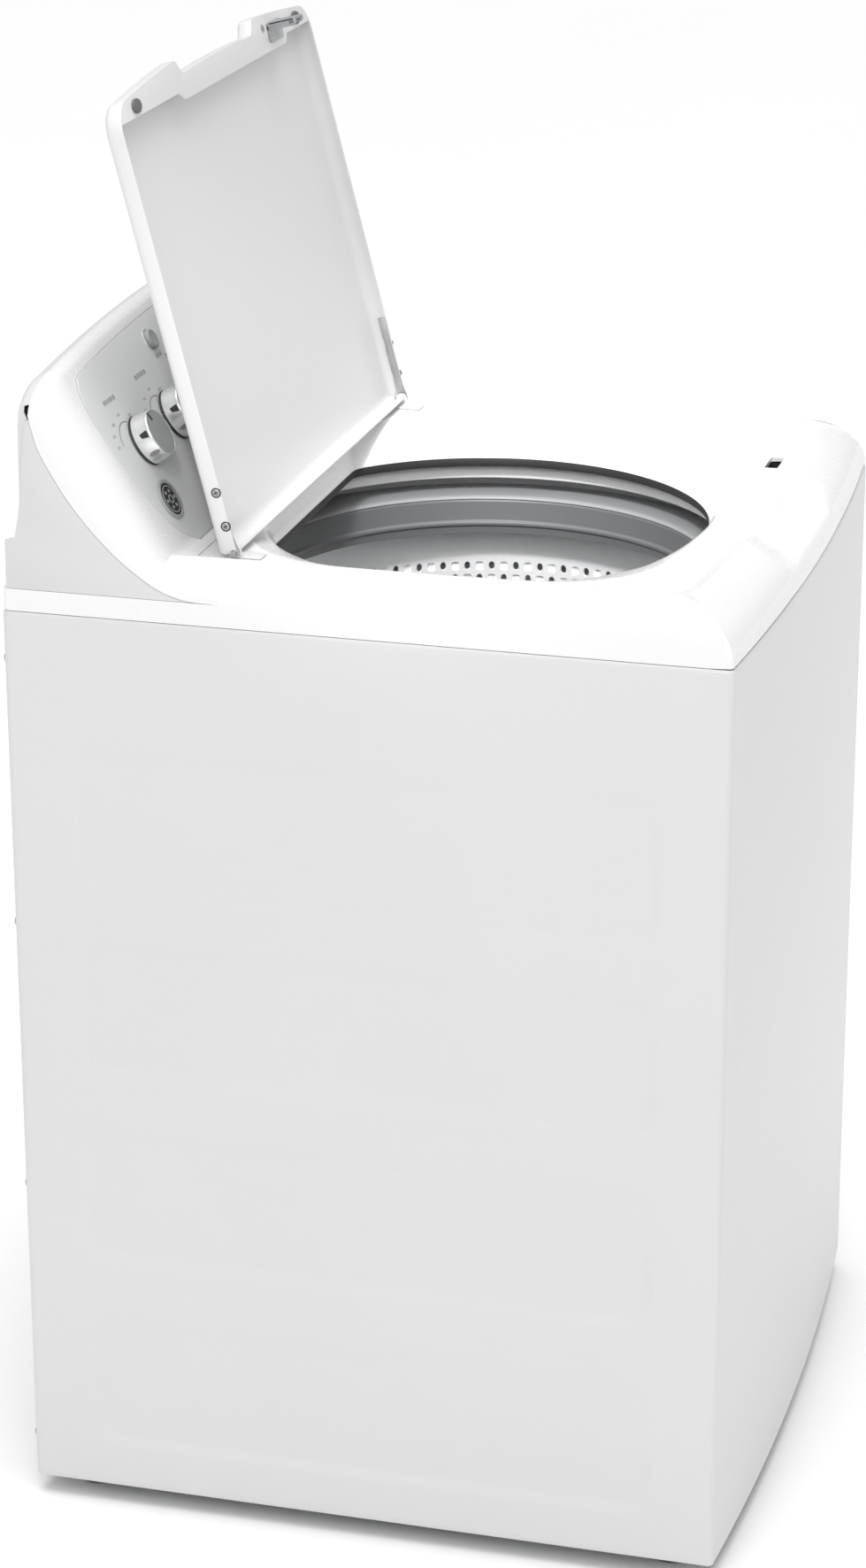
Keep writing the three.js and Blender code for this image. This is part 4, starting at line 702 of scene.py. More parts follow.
def top_cover():
    angles = cover_angles()
    outer = [y for _, y in spoke_hits(cabinet_outline(0), angles)]
    opening, dish_edge = spoke_hits(opening_outline(), angles), spoke_hits(DISH, angles)

    def edge(inset, side_z, front_z, scoop_z, skin=0):
        ring = []
        for (x, y), rim in zip(spoke_hits(cabinet_outline(inset + skin), angles), outer):
            front = smoothstep((-rim - 322) / 12)
            ring.append((x, y, lerp(side_z, lerp(front_z, scoop_z, scoop_share(x)), front)))
        return ring

    def crest(outline, z, scoop_z):
        ring = []
        for x, y in spoke_hits(outline, angles):
            front = clamp01((-y - 230) / 50)
            front_z = z - 2.4 * clamp01((z - DECK_Z) / 5)
            ring.append((x, y, lerp(z, lerp(front_z, scoop_z, scoop_share(x)), front)))
        return ring

    def flat(outline, z):
        return [(x, y, z) for x, y in spoke_hits(outline, angles)]

    def dish(share, z):
        return [(lerp(x0, x1, share), lerp(y0, y1, share), z)
                for (x0, y0), (x1, y1) in zip(dish_edge, opening)]

    seam = SEAM_Z + 1.5
    outside = [edge(1.4, seam, seam, seam), edge(0.3, seam + 0.4, seam + 0.4, seam + 0.4),
               edge(0, seam + 1.5, seam + 1.5, seam + 1.5), edge(0, 930, 916, 924),
               edge(2.6, 941, 925.5, 932), edge(11, 951, 938, 936.8), edge(26, 958, 949.5, 942),
               edge(40, CREST_Z, CREST_Z - 4, 949), crest(recess_outline(-9), CREST_Z - 0.2, 953.4),
               crest(recess_outline(-5), CREST_Z - 1.4, 954.8),
               crest(recess_outline(-1.5), CREST_Z - 3.8, DECK_Z + 0.2),
               flat(recess_outline(1.5), DECK_Z + 0.3), flat(recess_outline(4.5), DECK_Z),
               dish(0, DECK_Z - 0.3), dish(0.14, DECK_Z - 1.8), dish(0.34, DECK_Z - 7),
               dish(0.62, LIP_Z + 13), dish(0.84, LIP_Z + 4.5),
               dish(0.95, LIP_Z + 1), dish(1, LIP_Z - 0.6), flat(opening_outline(0.2), LIP_Z - 1.6)]
    inside = [flat(opening_outline(2.3), LIP_Z - 1.8), flat(opening_outline(2.5), LIP_Z - 0.6),
              dish(0.66, LIP_Z + 8), dish(0.2, DECK_Z - 6.5), flat(recess_outline(-2.5), DECK_Z - 2.5),
              crest(recess_outline(-5.5), CREST_Z - 4.5, 951.5), edge(27, 954.5, 945.5, 938, 2),
              edge(12, 947, 933.5, 932.5, 3), edge(0, 931, 917, 924, 2.5), edge(0, seam, seam, seam, 2.5)]
    smooth = [flowing(spoke, 3) for spoke in zip(*outside)]
    rings = [list(ring) for ring in zip(*smooth)] + inside
    cover = loft("top_cover_skin", rings, wrapped=True)
    cut(cover, console_envelope(0.12))
    reach, half = SLOT_LENGTH / 2, SLOT_WIDTH / 2
    mouth = rounded_rectangle(SLOT_X - reach, SLOT_X + reach, SLOT_Y - half, SLOT_Y + half, 1.5, 4)
    cut(cover, prism("slot", mouth, DECK_Z - 12, DECK_Z + 8))
    tray = block("tray", -HALF_WIDTH + 1.5, HALF_WIDTH - 1.5, 166, SIDE_Y - 1.5, SEAT_Z - 2.8, SEAT_Z - 0.3)
    wiring = block("wiring", 200, 250, 235, 265, SEAT_Z - 5, SEAT_Z + 1)
    rim = block("rim", -300, 300, 166, 168.5, SEAT_Z - 0.3, DECK_Z - 1)
    settle(merged("top_cover_skin", cover, cut(tray, wiring), rim), GLOSS,
           replaces=["top_cover"], sharp=32)

    # A dark band round the opening under the cover's lip: painted shade of the gap beneath the lip.
    painted_shade = [flat(opening_outline(grow), z) for grow, z in
              ((1.2, LIP_Z - 1.9), (0.8, LIP_Z - 3), (0.8, LIP_BOTTOM_Z + 0.8), (1.4, LIP_BOTTOM_Z),
               (3, LIP_BOTTOM_Z), (3, LIP_Z - 1.9))]
    settle(loft("cover_lip_shade", painted_shade, wrapped=True), SHADE_BLACK)
    # A dark strip in the seam between cover and cabinet: painted shade of the seam's groove.
    seam_shade_rings = [edge(inset, z, z, z) for inset, z in ((0.6, 906.8), (0.6, 910.4), (2.2, 910.4), (2.2, 906.8))]
    settle(loft("cover_seam_shade", seam_shade_rings, wrapped=True), SHADE_BLACK)


top_cover()


# ---- console

def panel_outline(grow=0.0):
    """The silver panel on its leaning plane: x, and distance up the plane."""
    half = [(236, 1), (262, 24), (280, 52), (291, 84), (296, 118), (297, 150), (294, 169), (286, 181),
            (270, 188), (180, 195.5), (90, 199.5)]
    made = []
    for x, up in flowing(half + [(0, 201)] + [(-x, up) for x, up in reversed(half)], 5):
        made.append((x + grow * math.copysign(min(abs(x) / 40, 1), x), up + grow * (up - 100) / 90))
    return made


def back_profile(x):
    """Outside of the console's back cover at x, (y, z) from its foot up to the bezel's rear edge."""
    _, edge_y, edge_z = console_point(x, len(END_SECTION) - 1)
    return [(331, SEAT_Z + 0.3), (329, 974), (323, 978), (318, 1006), (317, edge_z - 20),
            (315.5, edge_z - 8), (edge_y + 7, edge_z - 2), (edge_y + 0.15, edge_z - 0.4)]


def console():
    bezel = sheet("bezel_skin", [console_column(x) for x in console_columns()], 4, outward=-1)
    pocket = prism("pocket", panel_outline(0.35), -2.3, 30, PANEL)
    window = prism("window", panel_outline(-9), -14, 6, PANEL)
    cut(bezel, pocket, window)
    settle(bezel, GLOSS, replaces=["console_bezel"], sharp=45)

    for node in ("console_end_cap_left", "console_end_cap_right"):
        low, high = millimetres(node)
        front = [(y + 0.4, z - 0.5) for y, z in END_SECTION[5:-4]]
        rear = flowing([(310, 1086), (311.5, 1074), (314, 1050), (317.5, 1009), (323, 979)], 4)
        outline = [(156, SEAT_Z + 0.3)] + front + rear + [(332.4, 976), (333, SEAT_Z + 0.3)]
        cap = prism(node + "_plate", outline, low.x + 0.2, high.x - 0.2, ALONG_X)
        settle(bevel(cap, 0.6, 2, 60), CAP_GREY, replaces=[node])

    plate = prism("control_panel_plate", panel_outline(0), -2, 0, PANEL)
    settle(bevel(plate, 0.25, 2, 60), SILVER, replaces=["control_panel"])

    reach = 340.3
    xs = sorted({min(max(x, -reach), reach) for x in console_columns()})
    rows = [[(x, y, z) for y, z in eased(back_profile(x), 3, 3, closed=False)] for x in xs]
    skin = sheet("console_back_skin", rows, SHEET)
    rim = back_profile(reach)
    inner = [(y - min(16, 1 + 0.55 * (rim[-1][1] - z)), z) for y, z in reversed(rim)]
    ends = [prism("end", rim + inner, *span(side, reach - SHEET, reach), ALONG_X) for side in (-1, 1)]
    settle(merged("console_back_skin", skin, *ends), ENAMEL, replaces=["console_back_cover"])


console()


KNOBS = [("soil_knob", -226, 104, 24), ("temperature_knob", -137, 106, 24),
         ("load_knob", -48, 106, 24), ("cycle_knob", 150, 104, 36)]
BUTTONS = [("option_button", -98, 176), ("start_button", 255, 150)]
BADGE_X, BADGE_UP, BADGE_RADIUS = -242, 47, 19.5


def reflection_patch(x, up, radius, angle, outline):
    """A thin patch across a knob's side that carries a painted reflection, its outline given as (distance
    round the knob, height).
    """
    rings = []
    for depth in (0.45, -1.0):
        ring = []
        for s, h in outline:
            reach = radius + lerp(0.6, -0.8, clamp01((h - 6) / 12.6)) + depth
            turn = math.radians(angle) + s / radius
            ring.append((x + reach * math.cos(turn), up + reach * math.sin(turn), h))
        rings.append(ring)
    return loft("painted_reflection", rings)


def knob(name, x, up, radius):
    """A plated drum with a satin face and a pointer stroke, on a dark ring of painted shade at its foot, with
    a painted reflection in its grip: a dark wedge and a grey oval.
    """
    side = eased([(radius + 0.6, 3.4), (radius + 0.6, 6), (radius - 0.8, 18.6), (radius - 1.6, 20),
                  (radius - 2.4, 20), (radius - 2.8, 19.3)], 0.8, 4, closed=False)
    drum = lathe(name + "_drum", [(0, 3.4)] + side + [(0, 19.3)], x, up, 96, PANEL)
    settle(drum, CHROME, name, [name])
    face = lathe(name + "_face", [(0, 19.35), (radius - 2.9, 19.35), (radius - 3, 19.75), (0, 19.75)],
                 x, up, 72, PANEL)
    settle(face, SATIN, name)
    # A dark ring round the knob's foot: painted shade where the knob meets the panel.
    foot_shade_profile = [(0, 0.4), (radius + 0.2, 0.4), (radius + 1.1, 1.2), (radius + 0.4, 3.3), (0, 3.3)]
    foot_shade_ring = lathe("foot_shade_ring", foot_shade_profile, x, up, 72)
    # The dark wedge (recess) near the face and the grey oval (mark) lower down are painted reflections in the
    # plated side.
    wedge = eased([(-3.8, 17.2), (3.4, 17.6), (1.8, 10.4), (-2.4, 9.4)], 1, 3)
    recess = reflection_patch(x, up, radius, 166, wedge)
    stroke = moved(block("stroke", radius - 10, radius - 1.4, -1, 1, 19.0, 20.25), x, up, 0, 107)
    dark = merged(name + "_collar", foot_shade_ring, recess, stroke)
    dark.data.transform(PANEL)
    settle(dark, NEAR_BLACK, name)
    # The grey oval on the side: a painted reflection.
    mark = reflection_patch(x, up, radius, 213, oval(0, 12.8, 2.6, 5.4, 32))
    mark.data.transform(PANEL)
    mark.name = name + "_painted_reflection_oval"
    settle(mark, PRINT_AND_REFLECTION, name)


for data in KNOBS:
    knob(*data)

for name, x, up in BUTTONS:
    crown = eased([(9.5, 0), (9.5, 4.6), (8, 5.6), (6.5, 5.2), (5, 4.9)], 0.8, 3, closed=False)
    button = lathe(name + "_cap", [(0, -7), (9.5, -7)] + crown + [(0, 4.7)], x, up, 64, PANEL)
    settle(button, SATIN, name, [name])
    ring = lathe(name + "_ring", [(10, 0.02), (11.4, 0.02), (11.2, 0.9), (10.3, 0.9)], x, up, 64, PANEL)
    settle(ring, CHROME)


def badge():
    x, up, r = BADGE_X, BADGE_UP, BADGE_RADIUS
    rim = eased([(r - 3.4, 0.3), (r, 0.3), (r, 1.5), (r - 1.2, 2.3), (r - 3.4, 2.1)], 0.5, 3)
    ring = lathe("badge_rim", rim, x, up, 96, PANEL)
    core = lathe("badge_field", [(0, 0.3), (r - 3.5, 0.3), (r - 3.5, 1.5), (0, 1.5)], x, up, 96, PANEL)
    lines = [lathe("line", eased([(a, 1.4), (a + w, 1.4), (a + w, 2.0), (a, 2.0)], 0.2, 2), x, up, 72)
             for a, w in ((12.6, 1.0), (3.2, 1.1))]
    for k in range(6):
        angle = math.radians(60 * k)
        lines.append(lathe("stud", [(0, 1.4), (1.7, 1.4), (1.7, 1.9), (1.2, 2.1), (0, 2.1)],
                           x + 8.4 * math.cos(angle), up + 8.4 * math.sin(angle), 24))
    relief = merged("badge_relief", *lines)
    relief.data.transform(PANEL)
    settle(ring, SATIN, replaces=["console_badge"])
    settle(core, NEAR_BLACK)
    settle(relief, SATIN)


badge()


def stripe(outline):
    """A printed mark, a hair proud of the panel."""
    return prism("mark", outline, 0.0, 0.12)


def ring_arc(x, up, radius, width, start, end):
    steps = max(int(abs(end - start) / 4), 4)
    outer, inner = radius + width / 2, radius - width / 2
    return stripe(arc(x, up, outer, start, end, steps) + arc(x, up, inner, end, start, steps))


def label(x, up, lengths, height):
    """A short row of dashes in place of a printed word."""
    made = []
    left = x - (sum(lengths) + 1.2 * (len(lengths) - 1)) / 2
    low, high = up - height / 2, up + height / 2
    for length in lengths:
        right = left + length
        made.append(stripe([(left, low), (right, low), (right, high), (left, high)]))
        left = right + 1.2
    return made


def panel_marks():
    """The panel's printed scales, and plain dashes where the words stand."""
    scales, words = [], []
    for _, x, up, _ in KNOBS[:3]:
        cx, cy = x - 20.8, up + 2.1
        scales.append(ring_arc(cx, cy, 23.5, 1.1, 66, 168))
        for angle, reach in ((48, 34), (88, 31), (126, 32.5), (150, 34.5), (169, 34.5)):
            a = math.radians(angle)
            words += label(cx + reach * math.cos(a), cy + reach * math.sin(a), (2.4, 2.6), 2.6)
        words += label(x - 21, up + 49, (7, 5, 8, 6), 4.4)
    _, x, up, radius = KNOBS[3]
    for k in range(24):
        long = 5.5 if k % 6 == 0 else 3
        a = math.radians(15 * k)
        dx, dy = math.cos(a), math.sin(a)
        p, q = radius + 5, radius + 5 + long
        ends = [(p, -0.4), (q, -0.4), (q, 0.4), (p, 0.4)]
        scales.append(stripe([(x + r * dx - w * dy, up + r * dy + w * dx) for r, w in ends]))
    for dx, dy in ((0, 56), (62, 10), (0, -56), (-62, 10)):
        words += label(x + dx, up + dy, (9, 6, 7), 3.4)
        words += label(x + dx, up + dy - 6.5, (6, 8), 2.2)
    words += label(-96, 159.5, (4, 3, 6), 4)
    words += label(255, 133, (8, 10), 3)
    for k in range(4):
        scales.append(ring_arc(228, 92 - 14 * k, 2.2, 0.7, 0, 360))
        words += label(246, 92 - 14 * k, (8, 4, 6), 2.4)
    for name, marks, material in (("panel_scales", scales, PRINT_AND_REFLECTION), ("panel_words", words, PALE_PRINT)):
        made = merged(name, *marks)
        made.data.transform(PANEL)
        settle(made, material)


panel_marks()


# ---- lid, drawn closed about its hinge

def lid_outline(inset=0.0):
    """The lid's plan outline about the hinge, with the handle notch in its front edge."""
    half, front, rear = LID_HALF_WIDTH - inset, -LID_LENGTH + inset, LID_TAIL - inset
    radius, tail, notch = max(25 - inset, 3), max(4 - inset, 1), NOTCH_HALF_WIDTH + inset
    floor = front + NOTCH_DEPTH
    step = [(notch - 12, floor), (notch, floor), (notch + NOTCH_SLOPE, front), (notch + 24, front)]
    edge = [((notch - 12) * k / 8, floor) for k in range(1, 8)] + eased(step, 5, 4, closed=False)
    edge += [(x, front) for x in even(notch + 24, half - radius, 8)[1:-1]]
    outline = (arc(-half + radius, front + radius, radius, 180, 270, 12)
               + [(-x, y) for x, y in reversed(edge)] + [(0, floor)] + edge
               + arc(half - radius, front + radius, radius, 270, 360, 12)
               + [(half, y) for y in even(front + radius, rear - tail, 8)[1:-1]]
               + arc(half - tail, rear - tail, tail, 0, 90, 6)
               + arc(-half + tail, rear - tail, tail, 90, 180, 6)
               + [(-half, y) for y in even(rear - tail, front + radius, 8)[1:-1]])
    return bulged(outline, LID_HALF_WIDTH, -300)


def lid_ring(inset, z):
    return [(x, y, z) for x, y in lid_outline(inset)]


def lid_panel():
    outer = [(1.0, LID_LIP), (0.3, LID_LIP + 0.25), (0, LID_LIP + 1)]
    outer += arc(7, LID_TOP - 7, 7, 180, 90, 9)
    under = LID_TOP - 1.2
    inner = [(1.1, LID_LIP), (1.8, LID_LIP + 0.3), (2.0, LID_LIP + 1.2), (1.5, LID_LIP + 3)]
    inner += arc(11.5, under - 10, 10, 180, 90, 10)
    body = loft("body", [lid_ring(i, z) for i, z in outer])
    hollow = loft("hollow", [lid_ring(inner[0][0], LID_LIP - 3)] + [lid_ring(i, z) for i, z in inner])
    cut(body, hollow)
    inner_edge = [(330, -395), (206, -395), (200, -387), (-113, -387), (-127, -395), (-330, -395)]
    region = [(-330, -520), (330, -520)] + eased(inner_edge, 2, 3, closed=False)
    keep = prism("keep", region, LID_LIP - 5, LID_LIP + 5)
    lip = cut(prism("lip", lid_outline(0.5), LID_LIP, LID_LIP + 1.2), keep, operation="INTERSECT")
    bevel(lip, 0.35, 2, 50)
    rooms = []
    for side in (-1, 1):
        hole = arc(0, 0, PIN_RADIUS + 0.5, 0, 348, 29)
        rooms.append(prism("pin_hole", hole, *span(side, 280, 300), ALONG_X))
        near, far = span(side, LID_HALF_WIDTH - 10.2, LID_HALF_WIDTH - 1.5)
        rooms.append(block("bracket_room", near, far, -6, 5, -10, 8))
    cut(body, *rooms)
    panel = merged("lid_skin", body, lip)
    panel.data.transform(LID)
    settle(panel, LID_ENAMEL, "lid", ["lid_panel"], sharp=32)


def cross_screw(radius):
    """A countersunk cross-recessed screw head about +Z, its rim at zero."""
    profile = [(0, -1), (radius, -1), (radius, 0.15), (radius * 0.8, 0.75), (radius * 0.4, 1.1), (0, 1.15)]
    head = lathe("head", profile, 0, 0, 40)
    for turn in (20, 110):
        bar = block("bar", -radius * 0.62, radius * 0.62, -radius * 0.13, radius * 0.13, 0.2, 3)
        cut(head, moved(bar, turn=turn))
    return head


def lid_hardware():
    for side, hand in ((-1, "left"), (1, "right")):
        # The screws that hold the arm stand on the flange's outer face.
        screws, rims = [], []
        face = side * (LID_HALF_WIDTH - 0.1)
        for y, z in ((-57.7, 1.0), (-25.7, 0.4)):
            rim = lathe("rim", [(0, -0.4), (4.7, -0.4), (4.7, 0.25), (0, 0.25)], 0, 0, 40)
            rims.append(moved(rim, face, y, z, side * 90, "Y"))
            screws.append(moved(cross_screw(3.7), face, y, z, side * 90, "Y"))
        for kind, parts, material in (("screws", screws, SCREW), ("screw_rims", rims, NEAR_BLACK)):
            made = merged(f"lid_{kind}_{hand}", *parts)
            made.data.transform(LID)
            settle(made, material, "lid")

        strap = arc(0, 0, 5, -90, 90, 12)
        strap += [(-14, 5), (-24, 4.4), (-30, 5), (-52, 5), (-58, 4.2), (-66, 5), (-86, 5)]
        strap += [(-86, -2.2), (-50, -2), (-14, -2.8)]
        arm = prism(f"hinge_arm_{hand}_strap", strap, *span(side, 282, 284.5), ALONG_X)
        eye = arc(0, 0, PIN_RADIUS + 0.1, 0, 345, 23)
        cut(arm, prism("eye", eye, side * 283 - 8, side * 283 + 8, ALONG_X))
        bevel(arm, 0.4, 2, 40)
        arm.data.transform(LID)
        settle(arm, ZINC, "lid", [f"hinge_arm_{hand}"])

        outline = oval(side * 240, -404.5, 10, 6.5, 48)
        low = DECK_Z - HINGE.z + 0.5
        bumper = bevel(prism(f"lid_bumper_{hand}_pad", outline, low, LID_LIP - 0.1), 0.9, 4, 50)
        bumper.data.transform(LID)
        settle(bumper, RUBBER, "lid", [f"lid_bumper_{hand}"])


def lid_strike():
    """A folded steel channel on a foot that is screwed to the return lip, with an eye near its end."""
    x, y, low = SLOT_X + 4, SLOT_Y - HINGE.y + 2, LID_LIP - 0.3
    foot = prism("foot", rounded_rectangle(x - 12, x + 27, y - 3.5, y + 16, 2.5), low - 1.8, low)
    bevel(foot, 0.4)
    web = eased([(x - 12, low), (x + 12, low), (x + 12, low - 31), (x - 12, low - 31)], 3)
    top = prism("top", web, 1.9 - y, 3.5 - y, ALONG_Y)
    grooves = []
    for near in (x - 8, x + 3):
        groove = rounded_rectangle(near, near + 2, low - 23, low - 6, 0.9, 4)
        grooves.append(prism("groove", groove, -y, 8 - y, ALONG_Y))
    pieces = [foot, bevel(cut(top, *grooves), 0.3)]
    for near, far in ((x - 12, x - 10.4), (x + 10.4, x + 12)):
        outline = [(y - 3.5, low), (y + 3.5, low)] + arc(y, low - 27.5, 3.5, 0, -180, 12)
        wall = prism("wall", outline, near, far, ALONG_X)
        hole = rounded_rectangle(y - 1.7, y + 1.7, low - 28, low - 23, 0.8)
        eye = prism("eye", hole, near - 2, far + 2, ALONG_X)
        pieces.append(bevel(cut(wall, eye), 0.3, 2))
    hook = merged("strike_hook", *pieces)
    hook.data.transform(LID)
    settle(hook, ZINC, "lid", ["lid_strike"])
    screw = moved(cross_screw(4.2), x - 25, y - 1, low + 0.3, 180, "X")
    screw.data.transform(LID)
    screw.name = "strike_screw"
    settle(screw, SCREW, "lid")


lid_panel()
lid_hardware()
lid_strike()


def hinge_brackets():
    for side, node in ((-1, "hinge_bracket_left"), (1, "hinge_bracket_right")):
        low = DECK_Z + 0.3
        plan = rounded_rectangle(*span(side, 261.5, 279.5), HINGE.y - 24, HINGE.y + 6, 3)
        foot = bevel(prism("foot", plan, low, DECK_Z + 2), 0.4)
        outline = [(HINGE.y - 9, low), (HINGE.y + 6, low)] + arc(HINGE.y, HINGE.z, 5.6, 0, 180, 16)
        ear = bevel(prism("ear", outline, *span(side, 277.5, 280), ALONG_X), 0.4, 2)
        settle(merged(node + "_plate", foot, ear), LID_ENAMEL, replaces=[node])
        section = arc(HINGE.y, HINGE.z, PIN_RADIUS, 0, 350, 35)
        pin = prism(node + "_pin", section, *span(side, 278.5, LID_HALF_WIDTH + 1.8), ALONG_X)
        settle(bevel(pin, 0.5, 3), SCREW)


hinge_brackets()


# ---- tub, basket and agitator

def tub_pieces():
    ring = eased([(233, 899.2), (233, 907.5), (236.5, 911), (241.5, 910), (262, 901.5), (283, 896),
                  (284, 878), (278.4, 878), (278.4, 889), (262, 893), (244, 897)], 2.0, 4)
    settle(lathe("tub_ring_skin", ring), RING_WHITE, "tub", ["tub_ring"])

    balance = eased([(217, 845), (217, 853), (214.5, 854.4), (214.5, 857.6), (217, 859), (217.4, 879),
                     (219, 881), (266, 881), (266, 852), (255.8, 852), (255.8, 845)], 1.0, 3)
    # The ring's upward face is a lighter grey than its walls: painted light.
    cap = eased([(217.6, 880.9), (218, 882.6), (221, 884), (266, 884), (266, 881.1)], 0.8, 3)
    settle(lathe("balance_ring_lit_top", cap), RING_TOP_LIGHT, "basket")
    ring = lathe("balance_ring_skin", balance)
    settle(ring, RING_GREY, "basket", ["balance_ring"], sharp=25)


BASKET_RADIUS, BASKET_FLOOR_Z, BAND_Z = 256, 352, 812
HOLE_COLUMNS, HOLE_ROWS = 128, 32


def wash_basket():
    """The steel drum: a smooth band over a wall of holes with pressed dimples between them."""
    radius, low = BASKET_RADIUS - 1.6, BASKET_FLOOR_Z
    bottom_z, top_z = low + 26, BAND_Z - 6
    points, faces = [], []

    def on_wall(angle, z, push=0.0):
        points.append(((radius + push) * math.cos(angle), AXIS_Y + (radius + push) * math.sin(angle), z))
        return len(points) - 1

    step, rise = 2 * math.pi / HOLE_COLUMNS, (top_z - bottom_z) / HOLE_ROWS
    corners = [[on_wall(c * step, bottom_z + r * rise) for c in range(HOLE_COLUMNS)]
               for r in range(HOLE_ROWS + 1)]
    for r in range(HOLE_ROWS):
        for c in range(HOLE_COLUMNS):
            a, b = corners[r][c], corners[r][(c + 1) % HOLE_COLUMNS]
            d, e = corners[r + 1][c], corners[r + 1][(c + 1) % HOLE_COLUMNS]
            angle, z = (c + 0.5) * step, bottom_z + (r + 0.5) * rise
            square = (r + c) % 2 == 0
            half_angle, half_z = (0.34 * step, 0.34 * rise) if square else (0.27 * step, 0.36 * rise)
            power, share, depth = (0.45, 0.76, 3) if square else (1.0, 0.8, 1.6)
            ring, deep = [], []
            for k in range(12):
                t = math.radians(225 + 30 * k)
                u = math.copysign(abs(math.cos(t)) ** power, math.cos(t))
                v = math.copysign(abs(math.sin(t)) ** power, math.sin(t))
                ring.append(on_wall(angle + half_angle * u, z + half_z * v))
                deep.append(on_wall(angle + half_angle * share * u, z + half_z * share * v, depth))
            for edge, (p, q) in enumerate(((a, b), (b, e), (e, d), (d, a))):
                run = [ring[(3 * edge + k) % 12] for k in range(4)]
                faces.append((p, q, run[3], run[2], run[1], run[0]))
            for k in range(12):
                j = (k + 1) % 12
                faces.append((ring[k], ring[j], deep[j], deep[k]))
            if square:
                faces.append(tuple(deep))

    def hoop(r, z):
        start = len(points)
        for c in range(HOLE_COLUMNS):
            points.append((r * math.cos(c * step), AXIS_Y + r * math.sin(c * step), z))
        return list(range(start, start + HOLE_COLUMNS))

    upper = [hoop(radius, BAND_Z - 4), hoop(radius + 0.8, BAND_Z - 1), hoop(radius + 2, BAND_Z + 5),
             hoop(radius + 2, BAND_Z + 20), hoop(radius + 2, 851)]
    lower = [hoop(radius - 0.3, low + 20), hoop(radius - 4, low + 8), hoop(radius - 12, low + 3),
             hoop(radius - 20, low + 2), hoop(62, low + 2)]
    for chain in ([corners[HOLE_ROWS]] + upper, [corners[0]] + lower):
        for one, two in zip(chain, chain[1:]):
            for c in range(HOLE_COLUMNS):
                d = (c + 1) % HOLE_COLUMNS
                faces.append((one[c], one[d], two[d], two[c]))
    basket = shape("basket_skin", points, faces)
    solid = basket.modifiers.new("wall", "SOLIDIFY")
    solid.thickness, solid.offset = 0.8 * MM, 1
    settle(bake(basket), STAINLESS, "basket", ["wash_basket"], sharp=45)


def agitator():
    """A flared post with four tall vanes and eight short ribs, under a domed cap."""
    profile = [(190, 369), (196, 369), (196.5, 373), (150, 388), (98, 409), (69, 450), (58.5, 520),
               (54, 660), (50, 788), (45, 797), (13, 798), (13, 780), (44, 760), (50, 520), (56, 450),
               (80, 410), (140, 384), (186, 373)]
    body = lathe("body", eased(profile, 6, 4), 0, None, 128)
    vane = [(180, 374), (177, 396), (150, 419), (122, 440), (100, 480), (91, 530), (85, 600), (78, 655),
            (60, 672), (40, 674)]
    fins = []
    for turn in range(20, 380, 90):
        fin = prism("fin", [(40, 376)] + flowing(vane, 5), -3, 3, ALONG_Y)
        fins.append(moved(bevel(fin, 2.4, 5, 40), 0, AXIS_Y, 0, turn))
    for turn in range(0, 360, 45):
        rib = prism("rib", flowing([(49, 690), (60, 700), (58, 770), (49, 784)], 5), -1.6, 1.6, ALONG_Y)
        fins.append(moved(bevel(rib, 0.8, 2, 40), 0, AXIS_Y, 0, turn))
    settle(merged("agitator_body", body, *fins), RING_GREY, "agitator", ["agitator"])
    rise = [(13, 798.3), (47.5, 798.3), (49, 806), (44, 824), (28, 837.5), (12, 839.5)]
    cap = [(0, 812), (13, 812)] + eased(rise, 4, 4, closed=False) + [(0, 840)]
    dome = lathe("agitator_cap_dome", cap, 0, None, 96)
    settle(dome, LIGHT_PLASTIC, "agitator", ["agitator_cap"])


tub_pieces()
wash_basket()
agitator()


CORNERS = ("front_left", "front_right", "rear_left", "rear_right")


def springs():
    """Four coils, one at each corner."""
    turns, steps = 6, 20
    for corner in CORNERS:
        node = f"suspension_spring_{corner}"
        low, high = millimetres(node)
        middle = centre(node)
        path = []
        for k, z in enumerate(even(low.z + 2, high.z - 2, turns * steps)):
            angle = 2 * math.pi * k / steps
            path.append((middle.x + 11 * math.cos(angle), middle.y + 11 * math.sin(angle), z))
        coil = tube(f"spring_coil_{corner}", path, 1.9, 8)
        settle(coil, ZINC, replaces=[node])
        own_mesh(coil)


springs()


# ---- feet and rear fittings

def feet():
    side = eased([(19, 0), (20, 2), (18.4, 8), (11, 11.5), (10.5, 13)], 1.4, 4, closed=False)
    for corner in CORNERS:
        node = f"levelling_foot_{corner}"
        x, y, _ = centre(node)
        pad = lathe(node + "_pad", [(0, 0)] + side + [(0, 13)], x, y, 64)
        settle(pad, RUBBER, replaces=[node])
        nut = bevel(prism("nut", arc(x, y, 10.5, 0, 300, 5), 13.1, 17.8), 0.8, 2)
        threads = [(0, 12.5)]
        for k in range(22):
            threads += [(5.2, 13 + 2 * k), (6, 13.7 + 2 * k), (6, 14.1 + 2 * k), (5.2, 14.8 + 2 * k)]
        stem = lathe("stem", threads + [(0, 57.5)], x, y, 32)
        settle(merged(f"foot_stem_{corner}", nut, stem), ZINC)


